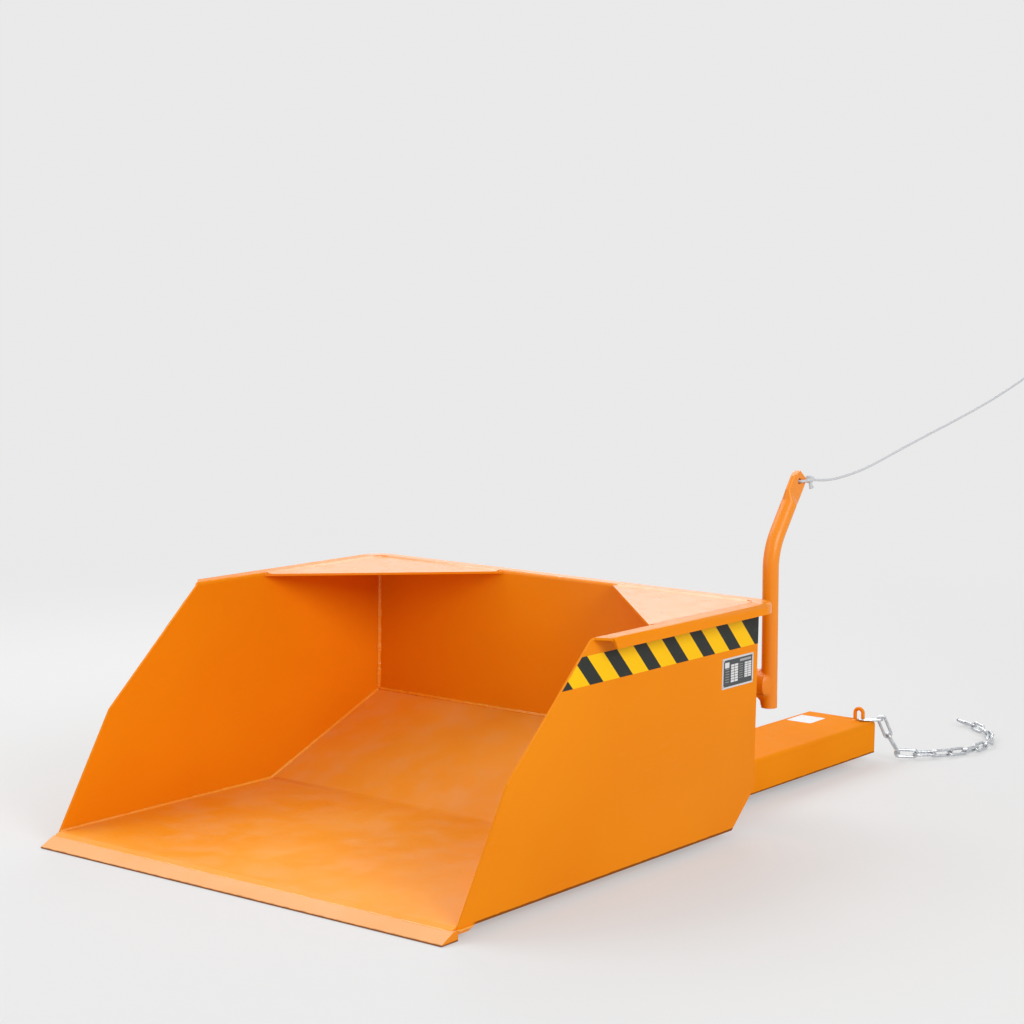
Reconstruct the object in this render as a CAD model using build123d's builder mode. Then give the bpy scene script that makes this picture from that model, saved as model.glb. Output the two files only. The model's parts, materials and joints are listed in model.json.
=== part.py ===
from build123d import *
import math
import os

os.makedirs("parts", exist_ok=True)

# Tipping bucket on fork pockets, all sizes in millimetres.
# X runs across, Y to the rear, Z up; the origin lies on the ground in the middle of the cutting edge.
# Lengths along Y are given as the distance behind the lip.

# Bucket shell
BUCKET_W = 1040.0
BUCKET_D = 1061.0
BUCKET_H = 497.0
WALL_T = 5.0
FLOOR_T = 6.0
FRONT_KINK_D = 188.0
FRONT_KINK_Z = 259.0
FRONT_TOP_D = 451.0
SKIRT_CHAMFER_D = 85.0
SKIRT_CHAMFER_Z = 75.0
RAMP_RUN = 376.0
RAMP_TOP = 177.0
RAMP_BEND_R = 40.0
REAR_WALL_BOTTOM = 150.0

# Folded rim
RIM_OUT = 36.0
RIM_DOWN = 22.0
BEND_IN = 2.5
RIM_CORNER_R = 62.0
RIM_END_SLANT = 0.6
LEFT_END_SLANT = 1.0

# Corner gussets
GUSSET_REAR_LEG = 365.0
GUSSET_SIDE_LEG = 403.0
GUSSET_T = 5.0
GUSSET_BELOW_RIM = 3.0

# Cutting edge and wear parts
EDGE_T = 20.0
EDGE_W = 48.0
EDGE_BEVEL = 46.0
EDGE_NOSE = 3.0
BACKING_W = 30.0
BACKING_T = 8.0
BACKING_BEVEL = 17.0
WEAR_BAR_W = 60.0
WEAR_BAR_X = 330.0
WEAR_BAR_GAP = 12.0
RIB_T = 6.0
RIB_X = 450.0

# Stickers and plate
BAND_BOTTOM = 407.0
BAND_H = 57.0
BAND_T = 0.4
PLATE_L = 123.0
PLATE_H = 64.0
PLATE_T = 0.8
PLATE_CORNER_R = 3.0
PLATE_FROM_REAR = 18.0
PLATE_Z = 359.0
RIVET_R = 2.0
RIVET_INSET = 5.0
LABEL_L = 78.0
LABEL_W = 65.0
LABEL_T = 0.3
LABEL_INSET = 46.0
LABEL_FROM_END = 91.0
LABEL_CORNER_R = 3.0
LABEL_TURN = 1.5

# Fork pockets and frame
POCKET_X = 294.0
POCKET_W = 188.0
POCKET_TOP = 97.0
POCKET_T = 6.0
POCKET_L = 952.0
STRAP_W = 60.0
HINGE_PLATE_T = 12.0
HINGE_PLATE_GAP = 13.0
HINGE_PLATE_OVER = 12.0
BEAM_SIZE = 60.0
BEAM_T = 4.0
BEAM_LIFT = 8.0
TIE_W = 50.0
TIE_T = 10.0
TIE_FROM_END = 110.0
SKID_W = 60.0
STOP_W = 60.0
STOP_L = 30.0

# Tipping hinge
PIVOT_BEHIND_BEND = 180.0
PIVOT_Z = 50.0
PIVOT_R = 12.0
LUG_T = 15.0
LUG_R = 24.0
LUG_CLEAR = 4.0
EAR_T = 15.0
SIDE_GAP = 0.5
BUSH_T = 4.0
FIT = 0.05
PIN_HEAD_R = 18.0
PIN_HEAD_T = 6.0
PIN_TAIL = 15.0
WASHER_R = 21.0
WASHER_T = 3.5
SPLIT_R = 2.0
SPLIT_L = 42.0

# Latch: cross shaft, hooks and catch pins
SHAFT_BEHIND_WALL = 121.0
SHAFT_Z = 297.0
SHAFT_R = 30.15
SHAFT_WALL = 5.0
SHAFT_OVER = 8.5
UPRIGHT_T = 15.0
UPRIGHT_FOOT = 150.0
HOUSING_R = 46.0
HOUSING_L = 36.0
SHAFT_BUSH_T = 6.0
COLLAR_L = 15.0
COLLAR_R = 42.0
SCREW_R = 4.0
HOOK_INSET = 54.0
HOOK_T = 15.0
HOOK_REACH = 85.0
HOOK_EYE_R = 46.0
HOOK_ARM = 22.0
HOOK_NOSE = 22.0
HOOK_LIFT = 12.0
CATCH_R = 10.0
CATCH_GAP = 1.5
CATCH_LUG_T = 10.0
CATCH_LUG_R = 19.0
CATCH_SIDE_GAP = 3.0
CATCH_PLATE_T = 8.0

# Release lever
LEVER_INSET = 40.0
LEVER_R = 17.5
LEVER_WALL = 3.0
LEVER_BOTTOM = 246.0
LEVER_BEND_Z = 590.0
LEVER_BEND_R = 120.0
LEVER_LEAN = 2.0
LEVER_TILT = 36.5
LEVER_ROUND = 118.0
LEVER_FLAT_START = 138.0
LEVER_TIP = 195.0
PRESS_STEP = 1.0
BLADE_W = 54.0
BLADE_T = 13.0
BLADE_CUT_S = 22.0
BLADE_CUT_E = 14.0
BLADE_HOLE_R = 7.0
BLADE_HOLE_S = 175.0
BLADE_HOLE_E = -2.0

# Rope: its points are given rearwards from the shaft and upwards from the lever's bend
ROPE_R = 3.0
KNOT_R = 9.0
ROPE_RUN = [
    (157, 140.5),
    (215, 133.5),
    (290, 136),
    (375, 144),
    (455, 157.5),
    (600, 187.5),
    (900, 243),
    (1100, 285),
    (1278, 332),
]

# Chain and snap hook
EYE_INSET = 34.0
EYE_FROM_END = 20.0
EYE_R = 4.5
EYE_HALF = 10.5
EYE_H = 34.0
WIRE_R = 3.5
LINK_BOW = 8.5
LINK_STRAIGHT = 39.0
LINK_PLAY = 0.5
LINK_REST = 0.3
SNAP_R = 3.5
SNAP_L = 56.0
SNAP_BEND_R = 11.5
SNAP_TIP = 12.0
SNAP_PIN_R = 1.2
SNAP_PIVOT_X = 12.0
SNAP_PIVOT_Y = 9.0
SNAP_SIDE_GAP = 0.25
GATE_CLEAR = 0.2
GATE_TIP_GAP = 1.8
# Heading, pitch and roll in degrees of each link, and then of the snap hook
CHAIN_RUN = [
    (46, 0, 0),
    (46, -65, 90),
    (46, -58, 0),
    (48, -3.3, 82),
    (54, -2, -14),
    (61, -1, 62),
    (70, -1, -36),
    (80, 0, 46),
    (91, 0, -45),
    (102, 0, 45),
    (113, 0, -45),
    (124, 0, 45),
    (135, 0.8, -40),
    (142, 0.8, 56),
]
SNAP_RUN = (148, -3, -25)

# Derived places
LIP_Y = -EDGE_W / 2
HALF_W = BUCKET_W / 2
INNER_W = HALF_W - WALL_T
REAR_IN = BUCKET_D - WALL_T
FLOOR_TOP = EDGE_T + FLOOR_T
BEND_OUT = BEND_IN + WALL_T
BEVEL_AT_FLOOR = EDGE_BEVEL * (EDGE_T - EDGE_NOSE) / (FLOOR_TOP - EDGE_NOSE)
RAMP_START = REAR_IN - RAMP_RUN
RAMP_SLOPE = (RAMP_TOP - FLOOR_TOP) / RAMP_RUN
RAMP_DROP = FLOOR_T * math.hypot(1.0, RAMP_SLOPE)
FRONT_SLOPE = (FRONT_TOP_D - FRONT_KINK_D) / (BUCKET_H - FRONT_KINK_Z)
RIM_X = HALF_W + RIM_OUT
RIM_D = BUCKET_D + RIM_OUT
CORNER_X = RIM_X - RIM_CORNER_R
CORNER_D = RIM_D - RIM_CORNER_R
POCKET_IN = POCKET_X - POCKET_W / 2
POCKET_OUT = POCKET_X + POCKET_W / 2
PIVOT_D = RAMP_START + PIVOT_BEHIND_BEND
HINGE_PLATE_D = PIVOT_D + LUG_R + LUG_CLEAR
POCKET_FRONT = HINGE_PLATE_D + HINGE_PLATE_T
POCKET_END = POCKET_FRONT + POCKET_L
SHAFT_D = BUCKET_D + SHAFT_BEHIND_WALL
COLLAR_X = POCKET_X + HOUSING_L / 2 + SIDE_GAP
SHAFT_END_X = COLLAR_X + COLLAR_L + SHAFT_OVER
HOOK_X = POCKET_X - HOOK_INSET
LEVER_X = HALF_W - LEVER_INSET
LABEL_X = POCKET_X - LABEL_INSET
EYE_X = POCKET_OUT - EYE_INSET


def side_at(x):
    """Plane facing +X at x; sketch axes are the distance behind the lip and the height."""
    return Plane(origin=(x, LIP_Y, 0), x_dir=(0, 1, 0), z_dir=(1, 0, 0))


def level_at(z):
    """Plane facing up at height z; sketch axes are X and the distance behind the lip."""
    return Plane(origin=(0, LIP_Y, z), x_dir=(1, 0, 0), z_dir=(0, 0, 1))


def across_at(d):
    """Plane facing the lip at distance d behind it; sketch axes are X and the height."""
    return Plane(origin=(0, LIP_Y + d, 0), x_dir=(1, 0, 0), z_dir=(0, -1, 0))


def ramp_under(d):
    """Height of the ramp's underside at distance d behind the lip."""
    return FLOOR_TOP + RAMP_SLOPE * (d - RAMP_START) - RAMP_DROP


def front_edge(z):
    """Distance behind the lip of the side wall's upper front edge at height z."""
    return FRONT_KINK_D + FRONT_SLOPE * (z - FRONT_KINK_Z)


def save(builder, name):
    """Label a finished piece and write it."""
    builder.part.label = name
    export_step(builder.part, f"parts/{name}.step")


# Cutting edge: bevelled bar across the full width
with BuildPart() as cutting_edge:
    with BuildSketch(side_at(-HALF_W)):
        Polygon(
            (0, 0),
            (EDGE_W, 0),
            (EDGE_W, EDGE_T),
            (BEVEL_AT_FLOOR, EDGE_T),
            (0, EDGE_NOSE),
            align=None,
        )
    extrude(amount=BUCKET_W)
save(cutting_edge, "cutting_edge")

# Backing strip behind the cutting edge, its rear lower edge bevelled
with BuildPart() as edge_backing_strip:
    with BuildSketch(side_at(-HALF_W)):
        Polygon(
            (EDGE_W, EDGE_T - BACKING_T),
            (EDGE_W + BACKING_W, EDGE_T - BACKING_T),
            (EDGE_W + BACKING_W + BACKING_BEVEL, EDGE_T),
            (EDGE_W, EDGE_T),
            align=None,
        )
    extrude(amount=BUCKET_W)
save(edge_backing_strip, "edge_backing_strip")

# Floor plate: flat, then a ramp up to the rear wall; the front edge carries on the bevel
with BuildPart() as floor_plate:
    with BuildSketch(side_at(-INNER_W)) as floor_profile:
        Polygon(
            (BEVEL_AT_FLOOR, EDGE_T),
            (EDGE_BEVEL, FLOOR_TOP),
            (RAMP_START, FLOOR_TOP),
            (REAR_IN, RAMP_TOP),
            (REAR_IN, RAMP_TOP - RAMP_DROP),
            (RAMP_START + (RAMP_DROP - FLOOR_T) / RAMP_SLOPE, EDGE_T),
            align=None,
        )
        bend_top = floor_profile.vertices().sort_by_distance((RAMP_START, FLOOR_TOP, 0))[0]
        fillet(bend_top, RAMP_BEND_R)
        bend_under = floor_profile.vertices().sort_by_distance((RAMP_START, EDGE_T, 0))[0]
        fillet(bend_under, RAMP_BEND_R + FLOOR_T)
    extrude(amount=2 * INNER_W)
save(floor_plate, "floor_plate")

# Side wall with its rim folded out and down
with BuildPart() as side_wall_right:
    with BuildSketch(across_at(0)) as side_fold:
        Polygon(
            (INNER_W, EDGE_T),
            (INNER_W, BUCKET_H),
            (RIM_X, BUCKET_H),
            (RIM_X, BUCKET_H - RIM_DOWN),
            (RIM_X - WALL_T, BUCKET_H - RIM_DOWN),
            (RIM_X - WALL_T, BUCKET_H - WALL_T),
            (HALF_W, BUCKET_H - WALL_T),
            (HALF_W, EDGE_T),
            align=None,
        )
        fillet(side_fold.vertices().group_by(Axis.Y)[-2], BEND_IN)
        fillet(side_fold.vertices().group_by(Axis.Y)[-1], BEND_OUT)
    extrude(amount=-CORNER_D)
    # Plain wall under the rim corner piece
    with BuildSketch(across_at(CORNER_D)):
        Polygon(
            (INNER_W, EDGE_T),
            (INNER_W, BUCKET_H - WALL_T),
            (HALF_W, BUCKET_H - WALL_T),
            (HALF_W, EDGE_T),
            align=None,
        )
    extrude(amount=CORNER_D - BUCKET_D)
    # Front edge in two slopes
    with BuildSketch(side_at(INNER_W - 1)):
        Polygon(
            (-1, EDGE_T - 1),
            (EDGE_BEVEL, EDGE_T - 1),
            (EDGE_BEVEL, EDGE_T),
            (FRONT_KINK_D, FRONT_KINK_Z),
            (front_edge(BUCKET_H + 1), BUCKET_H + 1),
            (-1, BUCKET_H + 1),
            align=None,
        )
    extrude(amount=BEND_OUT + 1, mode=Mode.SUBTRACT)
    # Rim end running back across the flange
    with BuildSketch(level_at(BUCKET_H - BEND_OUT)):
        Polygon(
            (INNER_W + BEND_OUT, -1),
            (RIM_X - WALL_T, -1),
            (RIM_X - WALL_T, FRONT_TOP_D + RIM_END_SLANT * (RIM_OUT - WALL_T)),
            (INNER_W + BEND_OUT, FRONT_TOP_D + RIM_END_SLANT * (BEND_OUT - WALL_T)),
            align=None,
        )
    extrude(amount=BEND_OUT + 1, mode=Mode.SUBTRACT)
    # Rim end running on down the flange
    with BuildSketch(side_at(RIM_X - WALL_T)):
        Polygon(
            (-1, BUCKET_H + 1),
            (FRONT_TOP_D + RIM_END_SLANT * (RIM_OUT - WALL_T - 1), BUCKET_H + 1),
            (FRONT_TOP_D + RIM_END_SLANT * (RIM_OUT - WALL_T + RIM_DOWN + 1), BUCKET_H - RIM_DOWN - 1),
            (-1, BUCKET_H - RIM_DOWN - 1),
            align=None,
        )
    extrude(amount=WALL_T + 1, mode=Mode.SUBTRACT)
    # Chamfered rear corner of the skirt
    with BuildSketch(side_at(INNER_W - 1)):
        Polygon(
            (BUCKET_D - SKIRT_CHAMFER_D, EDGE_T),
            (BUCKET_D, EDGE_T + SKIRT_CHAMFER_Z),
            (BUCKET_D, EDGE_T),
            align=None,
        )
    extrude(amount=WALL_T + 2, mode=Mode.SUBTRACT)
save(side_wall_right, "side_wall_right")

# The left wall mirrors it, with its rim end cut further back
with BuildPart() as side_wall_left:
    mirror(side_wall_right.part, about=Plane.YZ)
    with BuildSketch(level_at(BUCKET_H - RIM_DOWN - 1)):
        Polygon(
            (-INNER_W - BEND_OUT, FRONT_TOP_D - RIM_OUT),
            (-INNER_W - BEND_OUT, FRONT_TOP_D + LEFT_END_SLANT * (BEND_OUT - WALL_T)),
            (-RIM_X - 1, FRONT_TOP_D + LEFT_END_SLANT * (RIM_OUT + 1)),
            (-RIM_X - 1, FRONT_TOP_D - RIM_OUT),
            align=None,
        )
    extrude(amount=RIM_DOWN + 2, mode=Mode.SUBTRACT)
save(side_wall_left, "side_wall_left")

# Rear wall between the side walls, its rim folded back and down
with BuildPart() as rear_wall:
    with BuildSketch(side_at(-CORNER_X)) as rear_fold:
        Polygon(
            (REAR_IN, REAR_WALL_BOTTOM),
            (REAR_IN, BUCKET_H),
            (RIM_D, BUCKET_H),
            (RIM_D, BUCKET_H - RIM_DOWN),
            (RIM_D - WALL_T, BUCKET_H - RIM_DOWN),
            (RIM_D - WALL_T, BUCKET_H - WALL_T),
            (BUCKET_D, BUCKET_H - WALL_T),
            (BUCKET_D, REAR_WALL_BOTTOM),
            align=None,
        )
        fillet(rear_fold.vertices().group_by(Axis.Y)[-2], BEND_IN)
        fillet(rear_fold.vertices().group_by(Axis.Y)[-1], BEND_OUT)
    extrude(amount=2 * CORNER_X)
    with BuildSketch(side_at(-INNER_W)):
        Polygon(
            (REAR_IN, REAR_WALL_BOTTOM),
            (REAR_IN, BUCKET_H - WALL_T),
            (BUCKET_D, BUCKET_H - WALL_T),
            (BUCKET_D, REAR_WALL_BOTTOM),
            align=None,
        )
    extrude(amount=INNER_W - CORNER_X)
    with BuildSketch(side_at(CORNER_X)):
        Polygon(
            (REAR_IN, REAR_WALL_BOTTOM),
            (REAR_IN, BUCKET_H - WALL_T),
            (BUCKET_D, BUCKET_H - WALL_T),
            (BUCKET_D, REAR_WALL_BOTTOM),
            align=None,
        )
    extrude(amount=INNER_W - CORNER_X)
save(rear_wall, "rear_wall")

# Rounded rim corner, welded on between the two rims
corner_axis = Axis((CORNER_X, LIP_Y + CORNER_D, 0), (0, 0, 1))
corner_plane = Plane(origin=(CORNER_X, LIP_Y + CORNER_D, 0), x_dir=(1, 0, 0), z_dir=(0, -1, 0))
with BuildPart() as rim_corner_right:
    with BuildSketch(corner_plane) as corner_fold:
        Polygon(
            (INNER_W - CORNER_X, BUCKET_H - WALL_T),
            (INNER_W - CORNER_X, BUCKET_H),
            (RIM_CORNER_R, BUCKET_H),
            (RIM_CORNER_R, BUCKET_H - RIM_DOWN),
            (RIM_CORNER_R - WALL_T, BUCKET_H - RIM_DOWN),
            (RIM_CORNER_R - WALL_T, BUCKET_H - WALL_T),
            align=None,
        )
        inner_spot = (RIM_CORNER_R - WALL_T, BUCKET_H - WALL_T, 0)
        fillet(corner_fold.vertices().sort_by_distance(inner_spot)[0], BEND_IN)
        outer_spot = (RIM_CORNER_R, BUCKET_H, 0)
        fillet(corner_fold.vertices().sort_by_distance(outer_spot)[0], BEND_OUT)
    revolve(axis=corner_axis, revolution_arc=90)
save(rim_corner_right, "rim_corner_right")

with BuildPart() as rim_corner_left:
    mirror(rim_corner_right.part, about=Plane.YZ)
save(rim_corner_left, "rim_corner_left")

# Triangular gussets in the rear corners, just below the rim
with BuildPart() as corner_gusset_right:
    with BuildSketch(level_at(BUCKET_H - GUSSET_BELOW_RIM - GUSSET_T)):
        Polygon(
            (INNER_W, REAR_IN),
            (INNER_W, REAR_IN - GUSSET_SIDE_LEG),
            (INNER_W - GUSSET_REAR_LEG, REAR_IN),
            align=None,
        )
    extrude(amount=GUSSET_T)
    add(rim_corner_right.part, mode=Mode.SUBTRACT)
save(corner_gusset_right, "corner_gusset_right")

with BuildPart() as corner_gusset_left:
    mirror(corner_gusset_right.part, about=Plane.YZ)
save(corner_gusset_left, "corner_gusset_left")

# Hazard band on the side wall, under the rim
band_top = BAND_BOTTOM + BAND_H
with BuildPart() as hazard_band_right:
    with BuildSketch(side_at(HALF_W)):
        Polygon(
            (front_edge(BAND_BOTTOM), BAND_BOTTOM),
            (front_edge(band_top), band_top),
            (BUCKET_D, band_top),
            (BUCKET_D, BAND_BOTTOM),
            align=None,
        )
    extrude(amount=BAND_T)
save(hazard_band_right, "hazard_band_right")

with BuildPart() as hazard_band_left:
    mirror(hazard_band_right.part, about=Plane.YZ)
save(hazard_band_left, "hazard_band_left")

# Rating plate and its rivet heads on the right wall
plate_mid = BUCKET_D - PLATE_FROM_REAR - PLATE_L / 2
with BuildPart() as rating_plate:
    with BuildSketch(side_at(HALF_W)):
        with Locations((plate_mid, PLATE_Z)):
            RectangleRounded(PLATE_L, PLATE_H, PLATE_CORNER_R)
    extrude(amount=PLATE_T)
save(rating_plate, "rating_plate")

with BuildPart() as plate_rivets:
    with BuildSketch(side_at(HALF_W + PLATE_T)):
        with Locations((plate_mid, PLATE_Z)):
            with GridLocations(PLATE_L - 2 * RIVET_INSET, PLATE_H - 2 * RIVET_INSET, 2, 2):
                Circle(RIVET_R)
    extrude(amount=RIVET_R / 2)
save(plate_rivets, "plate_rivets")

# Wear bars under the floor
wear_start = EDGE_W + BACKING_W + BACKING_BEVEL + WEAR_BAR_GAP
with BuildPart() as wear_bars:
    for bar_x in (-WEAR_BAR_X, 0, WEAR_BAR_X):
        with BuildSketch(side_at(bar_x - WEAR_BAR_W / 2)):
            Polygon(
                (wear_start + EDGE_T / 2, 0),
                (RAMP_START - WEAR_BAR_GAP - EDGE_T, 0),
                (RAMP_START - WEAR_BAR_GAP - EDGE_T / 2, EDGE_T),
                (wear_start, EDGE_T),
                align=None,
            )
        extrude(amount=WEAR_BAR_W)
save(wear_bars, "wear_bars")

# Ribs under the ramp, outside the pockets
rib_front = RAMP_START + RAMP_BEND_R
rib_rear = REAR_IN - WALL_T
with BuildPart() as ramp_ribs:
    for rib_x in (-RIB_X, RIB_X):
        with BuildSketch(side_at(rib_x - RIB_T / 2)):
            Polygon(
                (rib_front, ramp_under(rib_front)),
                (rib_rear, ramp_under(rib_rear)),
                (rib_rear, REAR_WALL_BOTTOM - EDGE_T),
                (rib_front + EDGE_T, EDGE_T),
                (rib_front, EDGE_T),
                align=None,
            )
        extrude(amount=RIB_T)
save(ramp_ribs, "ramp_ribs")

# Tipping hinge, bucket side: a lug under the ramp in front of each pocket, with a bush
lug_front = PIVOT_D - 1.5 * LUG_R
lug_rear = PIVOT_D + LUG_R
with BuildPart() as bucket_hinge_lugs:
    for lug_x in (-POCKET_X, POCKET_X):
        with BuildSketch(side_at(lug_x - LUG_T / 2)):
            with Locations((PIVOT_D, PIVOT_Z)):
                Circle(LUG_R)
            Polygon(
                (PIVOT_D - LUG_R, PIVOT_Z),
                (lug_front, ramp_under(lug_front)),
                (lug_rear, ramp_under(lug_rear)),
                (PIVOT_D + LUG_R, PIVOT_Z),
                align=None,
            )
            with Locations((PIVOT_D, PIVOT_Z)):
                Circle(PIVOT_R + FIT + BUSH_T + FIT, mode=Mode.SUBTRACT)
        extrude(amount=LUG_T)
save(bucket_hinge_lugs, "bucket_hinge_lugs")

with BuildPart() as pivot_bushes:
    for lug_x in (-POCKET_X, POCKET_X):
        with BuildSketch(side_at(lug_x - LUG_T / 2)):
            with Locations((PIVOT_D, PIVOT_Z)):
                Circle(PIVOT_R + FIT + BUSH_T)
                Circle(PIVOT_R + FIT, mode=Mode.SUBTRACT)
        extrude(amount=LUG_T)
save(pivot_bushes, "pivot_bushes")

# Tipping hinge, frame side: plate across the pocket fronts with two ears to each lug
hinge_plate_top = ramp_under(HINGE_PLATE_D) - HINGE_PLATE_GAP
with BuildPart() as hinge_plate:
    with BuildSketch(across_at(HINGE_PLATE_D)):
        Polygon(
            (-POCKET_OUT - HINGE_PLATE_OVER, EDGE_T),
            (POCKET_OUT + HINGE_PLATE_OVER, EDGE_T),
            (POCKET_OUT + HINGE_PLATE_OVER, hinge_plate_top),
            (-POCKET_OUT - HINGE_PLATE_OVER, hinge_plate_top),
            align=None,
        )
    extrude(amount=-HINGE_PLATE_T)
save(hinge_plate, "hinge_plate")

ear_inner = LUG_T / 2 + SIDE_GAP
ear_outer = ear_inner + EAR_T
with BuildPart() as frame_hinge_ears:
    for hinge_x in (-POCKET_X, POCKET_X):
        for ear_start in (-ear_outer, ear_inner):
            with BuildSketch(side_at(hinge_x + ear_start)):
                with Locations((PIVOT_D, PIVOT_Z)):
                    Circle(LUG_R)
                Polygon(
                    (PIVOT_D, PIVOT_Z - LUG_R),
                    (HINGE_PLATE_D, PIVOT_Z - LUG_R),
                    (HINGE_PLATE_D, PIVOT_Z + LUG_R),
                    (PIVOT_D, PIVOT_Z + LUG_R),
                    align=None,
                )
                with Locations((PIVOT_D, PIVOT_Z)):
                    Circle(PIVOT_R + FIT, mode=Mode.SUBTRACT)
            extrude(amount=EAR_T)
save(frame_hinge_ears, "frame_hinge_ears")

# Pivot pins with a head at the inner end and a drilled outer end
split_x = ear_outer + WASHER_T + FIT + SPLIT_R + 1
with BuildPart() as pivot_pin_right:
    with BuildSketch(side_at(POCKET_X - ear_outer - PIN_HEAD_T)):
        with Locations((PIVOT_D, PIVOT_Z)):
            Circle(PIN_HEAD_R)
    extrude(amount=PIN_HEAD_T)
    with BuildSketch(side_at(POCKET_X - ear_outer)):
        with Locations((PIVOT_D, PIVOT_Z)):
            Circle(PIVOT_R)
    extrude(amount=2 * ear_outer + PIN_TAIL)
    with BuildSketch(level_at(PIVOT_Z - LUG_R)):
        with Locations((POCKET_X + split_x, PIVOT_D)):
            Circle(SPLIT_R + FIT)
    extrude(amount=2 * LUG_R, mode=Mode.SUBTRACT)

with BuildPart() as pivot_pins:
    add(pivot_pin_right.part)
    mirror(pivot_pin_right.part, about=Plane.YZ)
save(pivot_pins, "pivot_pins")

with BuildPart() as pivot_washers:
    for washer_x in (-POCKET_X - ear_outer - WASHER_T, POCKET_X + ear_outer):
        with BuildSketch(side_at(washer_x)):
            with Locations((PIVOT_D, PIVOT_Z)):
                Circle(WASHER_R)
                Circle(PIVOT_R + FIT, mode=Mode.SUBTRACT)
        extrude(amount=WASHER_T)
save(pivot_washers, "pivot_washers")

# Split pins: a shank with a ring head
with BuildPart() as split_pin_right:
    with BuildSketch(level_at(PIVOT_Z - SPLIT_L / 2)):
        with Locations((POCKET_X + split_x, PIVOT_D)):
            Circle(SPLIT_R)
    extrude(amount=SPLIT_L - 2 * SPLIT_R)
    with Locations((POCKET_X + split_x, LIP_Y + PIVOT_D, PIVOT_Z + SPLIT_L / 2)):
        Torus(2 * SPLIT_R, SPLIT_R, rotation=(0, 90, 0))

with BuildPart() as split_pins:
    add(split_pin_right.part)
    mirror(split_pin_right.part, about=Plane.YZ)
save(split_pins, "split_pins")

# Fork pocket: folded channel, open at the rear
with BuildPart() as fork_pocket_right:
    with BuildSketch(across_at(POCKET_FRONT)) as pocket_fold:
        Polygon(
            (POCKET_IN, EDGE_T),
            (POCKET_IN, POCKET_TOP),
            (POCKET_OUT, POCKET_TOP),
            (POCKET_OUT, EDGE_T),
            (POCKET_OUT - POCKET_T, EDGE_T),
            (POCKET_OUT - POCKET_T, POCKET_TOP - POCKET_T),
            (POCKET_IN + POCKET_T, POCKET_TOP - POCKET_T),
            (POCKET_IN + POCKET_T, EDGE_T),
            align=None,
        )
        fillet(pocket_fold.vertices().group_by(Axis.Y)[-2], BEND_IN)
        fillet(pocket_fold.vertices().group_by(Axis.Y)[-1], BEND_IN + POCKET_T)
    extrude(amount=POCKET_FRONT - POCKET_END)
save(fork_pocket_right, "fork_pocket_right")

with BuildPart() as fork_pocket_left:
    mirror(fork_pocket_right.part, about=Plane.YZ)
save(fork_pocket_left, "fork_pocket_left")

# Straps that close the pockets underneath
strap_mid = (POCKET_FRONT + POCKET_END) / 2 - STRAP_W / 2
with BuildPart() as pocket_straps:
    for strap_d in (POCKET_FRONT, strap_mid, POCKET_END - 2 * STRAP_W):
        for strap_x in (-POCKET_X, POCKET_X):
            with BuildSketch(level_at(EDGE_T)):
                with Locations((strap_x, strap_d + STRAP_W / 2)):
                    Rectangle(POCKET_W - 2 * POCKET_T, STRAP_W)
            extrude(amount=POCKET_T)
save(pocket_straps, "pocket_straps")

# Cross beam and tie bar between the pockets
with BuildPart() as rear_cross_beam:
    with BuildSketch(side_at(-POCKET_IN)):
        with Locations((SHAFT_D, EDGE_T + BEAM_LIFT + BEAM_SIZE / 2)):
            RectangleRounded(BEAM_SIZE, BEAM_SIZE, 2 * BEAM_T)
            RectangleRounded(BEAM_SIZE - 2 * BEAM_T, BEAM_SIZE - 2 * BEAM_T, BEAM_T, mode=Mode.SUBTRACT)
    extrude(amount=2 * POCKET_IN)
save(rear_cross_beam, "rear_cross_beam")

with BuildPart() as rear_tie_bar:
    with BuildSketch(side_at(-POCKET_IN)):
        with Locations((POCKET_END - TIE_FROM_END, EDGE_T + BEAM_LIFT + TIE_T / 2)):
            Rectangle(TIE_W, TIE_T)
    extrude(amount=2 * POCKET_IN)
save(rear_tie_bar, "rear_tie_bar")

# Skids under the pockets
with BuildPart() as pocket_skids:
    for skid_x in (-POCKET_IN - SKID_W / 2, POCKET_IN + SKID_W / 2):
        with BuildSketch(side_at(skid_x - SKID_W / 2)):
            Polygon(
                (POCKET_FRONT + STRAP_W, 0),
                (POCKET_END - STRAP_W - EDGE_T, 0),
                (POCKET_END - STRAP_W, EDGE_T),
                (POCKET_FRONT + STRAP_W - EDGE_T, EDGE_T),
                align=None,
            )
        extrude(amount=SKID_W)
save(pocket_skids, "pocket_skids")

# Blocks on the pockets that the rear wall sits on
with BuildPart() as bucket_stops:
    for stop_x in (-POCKET_X, POCKET_X):
        with BuildSketch(level_at(POCKET_TOP)):
            with Locations((stop_x, BUCKET_D)):
                Rectangle(STOP_W, STOP_L)
        extrude(amount=REAR_WALL_BOTTOM - POCKET_TOP)
save(bucket_stops, "bucket_stops")

# Uprights on the pockets that carry the cross shaft
with BuildPart() as latch_uprights:
    for upright_x in (-POCKET_X, POCKET_X):
        with BuildSketch(side_at(upright_x - UPRIGHT_T / 2)):
            Polygon(
                (SHAFT_D - UPRIGHT_FOOT / 2, POCKET_TOP),
                (SHAFT_D + UPRIGHT_FOOT / 2, POCKET_TOP),
                (SHAFT_D + HOUSING_R + FIT, SHAFT_Z - HOUSING_R / 2),
                (SHAFT_D - HOUSING_R - FIT, SHAFT_Z - HOUSING_R / 2),
                align=None,
            )
            with Locations((SHAFT_D, SHAFT_Z)):
                Circle(HOUSING_R + FIT, mode=Mode.SUBTRACT)
        extrude(amount=UPRIGHT_T)
save(latch_uprights, "latch_uprights")

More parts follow.
